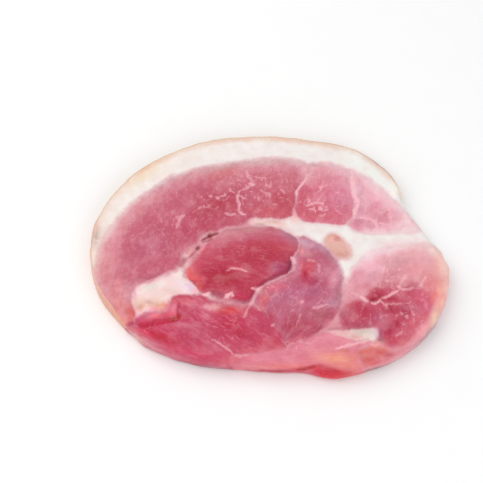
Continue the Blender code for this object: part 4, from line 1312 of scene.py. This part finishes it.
def rind_material():
    """Smoked skin: golden outside, stained like the fat on its cut edge, with pores and wrinkles."""
    t = Tree("gammon_rind")
    skin = t.attribute("skin", "Vector")
    outer = t.attribute("outer")
    tone = t.attribute("tone", "Color")
    blotch = t.noise(skin, 0.12, 4, 0.6)
    face = t.mix(t.ramp(blotch, 0.35, 0.7, 0.0, 0.4), tone, rgba("e2bd92"))
    wrinkles = t.noise(skin, 0.9, 4, 0.65, 0.6)
    face = t.mix(t.ramp(wrinkles, 0.5, 0.3, 0.0, 0.3), face, rgba("8f5f45"))
    pores = t.ramp(t.cells(skin, 0.55, "F1"), 0.16, 0.06)
    face = t.mix(t.times(pores, 0.3), face, rgba("7a4c38"))
    fat = t.attribute("fat", "Color")
    stained = t.mix(t.ramp(outer, 0.35, 0.8), fat, t.mix(0.45, fat, tone))
    grit = t.bump(t.noise(t.place(), 1800, 2, 0.6), 0.0001, 0.4)
    height = t.math("SUBTRACT", wrinkles, t.times(pores, 0.6))
    t.surface({
        "Base Color": t.mix(t.ramp(outer, 0.5, 0.92), stained, face),
        "Roughness": t.ramp(blotch, 0.3, 0.7, 0.38, 0.55),
        "IOR": 1.42,
        "Subsurface Weight": 0.12,
        "Subsurface Radius": (1.0, 0.5, 0.3),
        "Subsurface Scale": 0.0015,
        "Normal": t.bump(height, 0.0004, 0.6, grit),
    })
    return t.material


def floor_material():
    """Plain white, faintly uneven."""
    t = Tree("floor_white")
    t.surface({
        "Base Color": t.mix(t.noise(t.place(), 60, 2), (0.96, 0.96, 0.96, 1), (0.98, 0.98, 0.98, 1)),
        "Roughness": 0.9,
        "Specular IOR Level": 0.2,
    })
    return t.material


# -------------------- the pieces
def add_object(name, data):
    """A new object in the scene."""
    made = bpy.data.objects.new(name, data)
    bpy.context.scene.collection.objects.link(made)
    return made


def to_frame(points):
    """Drawing millimetres as metres in the frame: the drawing laid on the CAD solid's box."""
    low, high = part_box(NODE)
    loop = smooth_curve(OUTLINE, True)
    scale = (high.x - low.x) / MM / np.ptp(loop[:, 0])
    middle = (loop[:, 0].max() + loop[:, 0].min()) / 2
    moved = np.array(points, float)
    moved[:, 0] = (moved[:, 0] - middle) * scale * MM + (low.x + high.x) / 2
    moved[:, 1] = (moved[:, 1] - loop[:, 1].max()) * scale * MM + high.y
    moved[:, 2] = moved[:, 2] * MM + low.z
    return moved


def make_piece(name, points, face_sets, material, attributes):
    """A mesh object with its attributes, standing for the CAD solid."""
    mesh = bpy.data.meshes.new(name)
    faces = [tuple(face) for faces in face_sets for face in faces.tolist()]
    mesh.from_pydata(to_frame(points).tolist(), [], faces)
    mesh.shade_smooth()
    for key, values in attributes.items():
        values = np.asarray(values, np.float32).reshape(len(points), -1)
        kind, field = ATTRIBUTE_KINDS[values.shape[1]]
        mesh.attributes.new(key, kind, "POINT").data.foreach_set(field, values.ravel())
    mesh.materials.append(material)
    piece = add_object(name, mesh)
    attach(piece, "root")
    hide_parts(NODE)


def make_meat():
    """The meat, without its rind."""
    points, faces, read = build_meat()
    make_piece("meat", points, faces, meat_material(), {
        "tone": colours(read["tones"]),
        "fat": colours(read["fat"]),
        "lean": np.clip(read["lean"] / read["soft"], -4, 6),
        "cells": read["cells"],
        "marbled": read["marbled"],
        "vein": read["vein"],
        "vein_strength": read["vein_strength"],
        # Painted shade of the folds and slits, and its colour.
        "cut": read["cut"],
        "crease_shade_tone": colours(read["cut_tones"]),
        "grain": np.column_stack([read["grain"], points[:, 2]]),
    })


def make_rind():
    """The strip of skin."""
    rind = build_rind()
    points = rind["points"]
    tones = plain(RIND_TONE, points)
    lay_spots(tones, rind["places"], RIND_SPOTS)
    make_piece("rind", points, rind["faces"], rind_material(), {
        "tone": colours(tones),
        "fat": colours(rind["fat"]),
        "outer": rind["outer"],
        "skin": np.column_stack([rind["along"], points[:, 2], rind["outer"]]),
    })


# -------------------- the setting
FLOOR_SIDE = 6.0          # in metres, as are the places and sides of the lights
FLOOR_GAP = 0.0001
WORLD_LIGHT = 0.65
LIGHTS = [
    dict(name="key", place=(-0.7, 0.36, 0.95), side=1.3, power=7.2),
    dict(name="front", place=(0.45, -0.95, 0.6), side=0.9, power=4.0),
]
CAMERA_TARGET = (-15.8, 4.2, 11.0)    # from the middle of the CAD box's base, in millimetres
CAMERA_ELEVATION = 60.0
CAMERA_DISTANCE = 663.0
CAMERA_LENS = 85.0
SENSOR = 36.0


def make_floor():
    """A plain pale floor."""
    half = FLOOR_SIDE / 2
    mesh = bpy.data.meshes.new("floor")
    corners = [(-half, -half, 0), (half, -half, 0), (half, half, 0), (-half, half, 0)]
    mesh.from_pydata(corners, [], [(0, 1, 2, 3)])
    mesh.materials.append(floor_material())
    floor = add_object("floor", mesh)
    floor.location.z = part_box(NODE)[0].z - FLOOR_GAP


def aim(thing, target):
    """Turn a light or camera to look at a place."""
    thing.rotation_euler = (Vector(target) - thing.location).to_track_quat("-Z", "Y").to_euler()


def make_light(name, place, side, power):
    """A large soft square light aimed at the slice."""
    lamp = bpy.data.lights.new(name, "AREA")
    lamp.size = side
    lamp.energy = power
    light = add_object(name, lamp)
    light.location = place
    aim(light, (0, 0, 0))


def make_world():
    """Even white light from all round."""
    world = bpy.data.worlds.new("studio")
    world.use_nodes = True
    background = world.node_tree.nodes["Background"]
    background.inputs["Color"].default_value = (1, 1, 1, 1)
    background.inputs["Strength"].default_value = WORLD_LIGHT
    bpy.context.scene.world = world


def make_camera():
    """A camera that looks down on the slice from the front."""
    low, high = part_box(NODE)
    base = Vector(((low.x + high.x) / 2, (low.y + high.y) / 2, low.z))
    target = base + Vector(CAMERA_TARGET) * MM
    turn = np.radians(CAMERA_ELEVATION)
    lens = bpy.data.cameras.new("camera")
    lens.lens = CAMERA_LENS
    lens.sensor_width = SENSOR
    camera = add_object("camera", lens)
    camera.location = target + Vector((0, -np.cos(turn), np.sin(turn))) * CAMERA_DISTANCE * MM
    aim(camera, target)
    bpy.context.scene.camera = camera


make_meat()
make_rind()
make_floor()
make_world()
for light in LIGHTS:
    make_light(**light)
make_camera()
bpy.context.scene.view_settings.view_transform = "Standard"
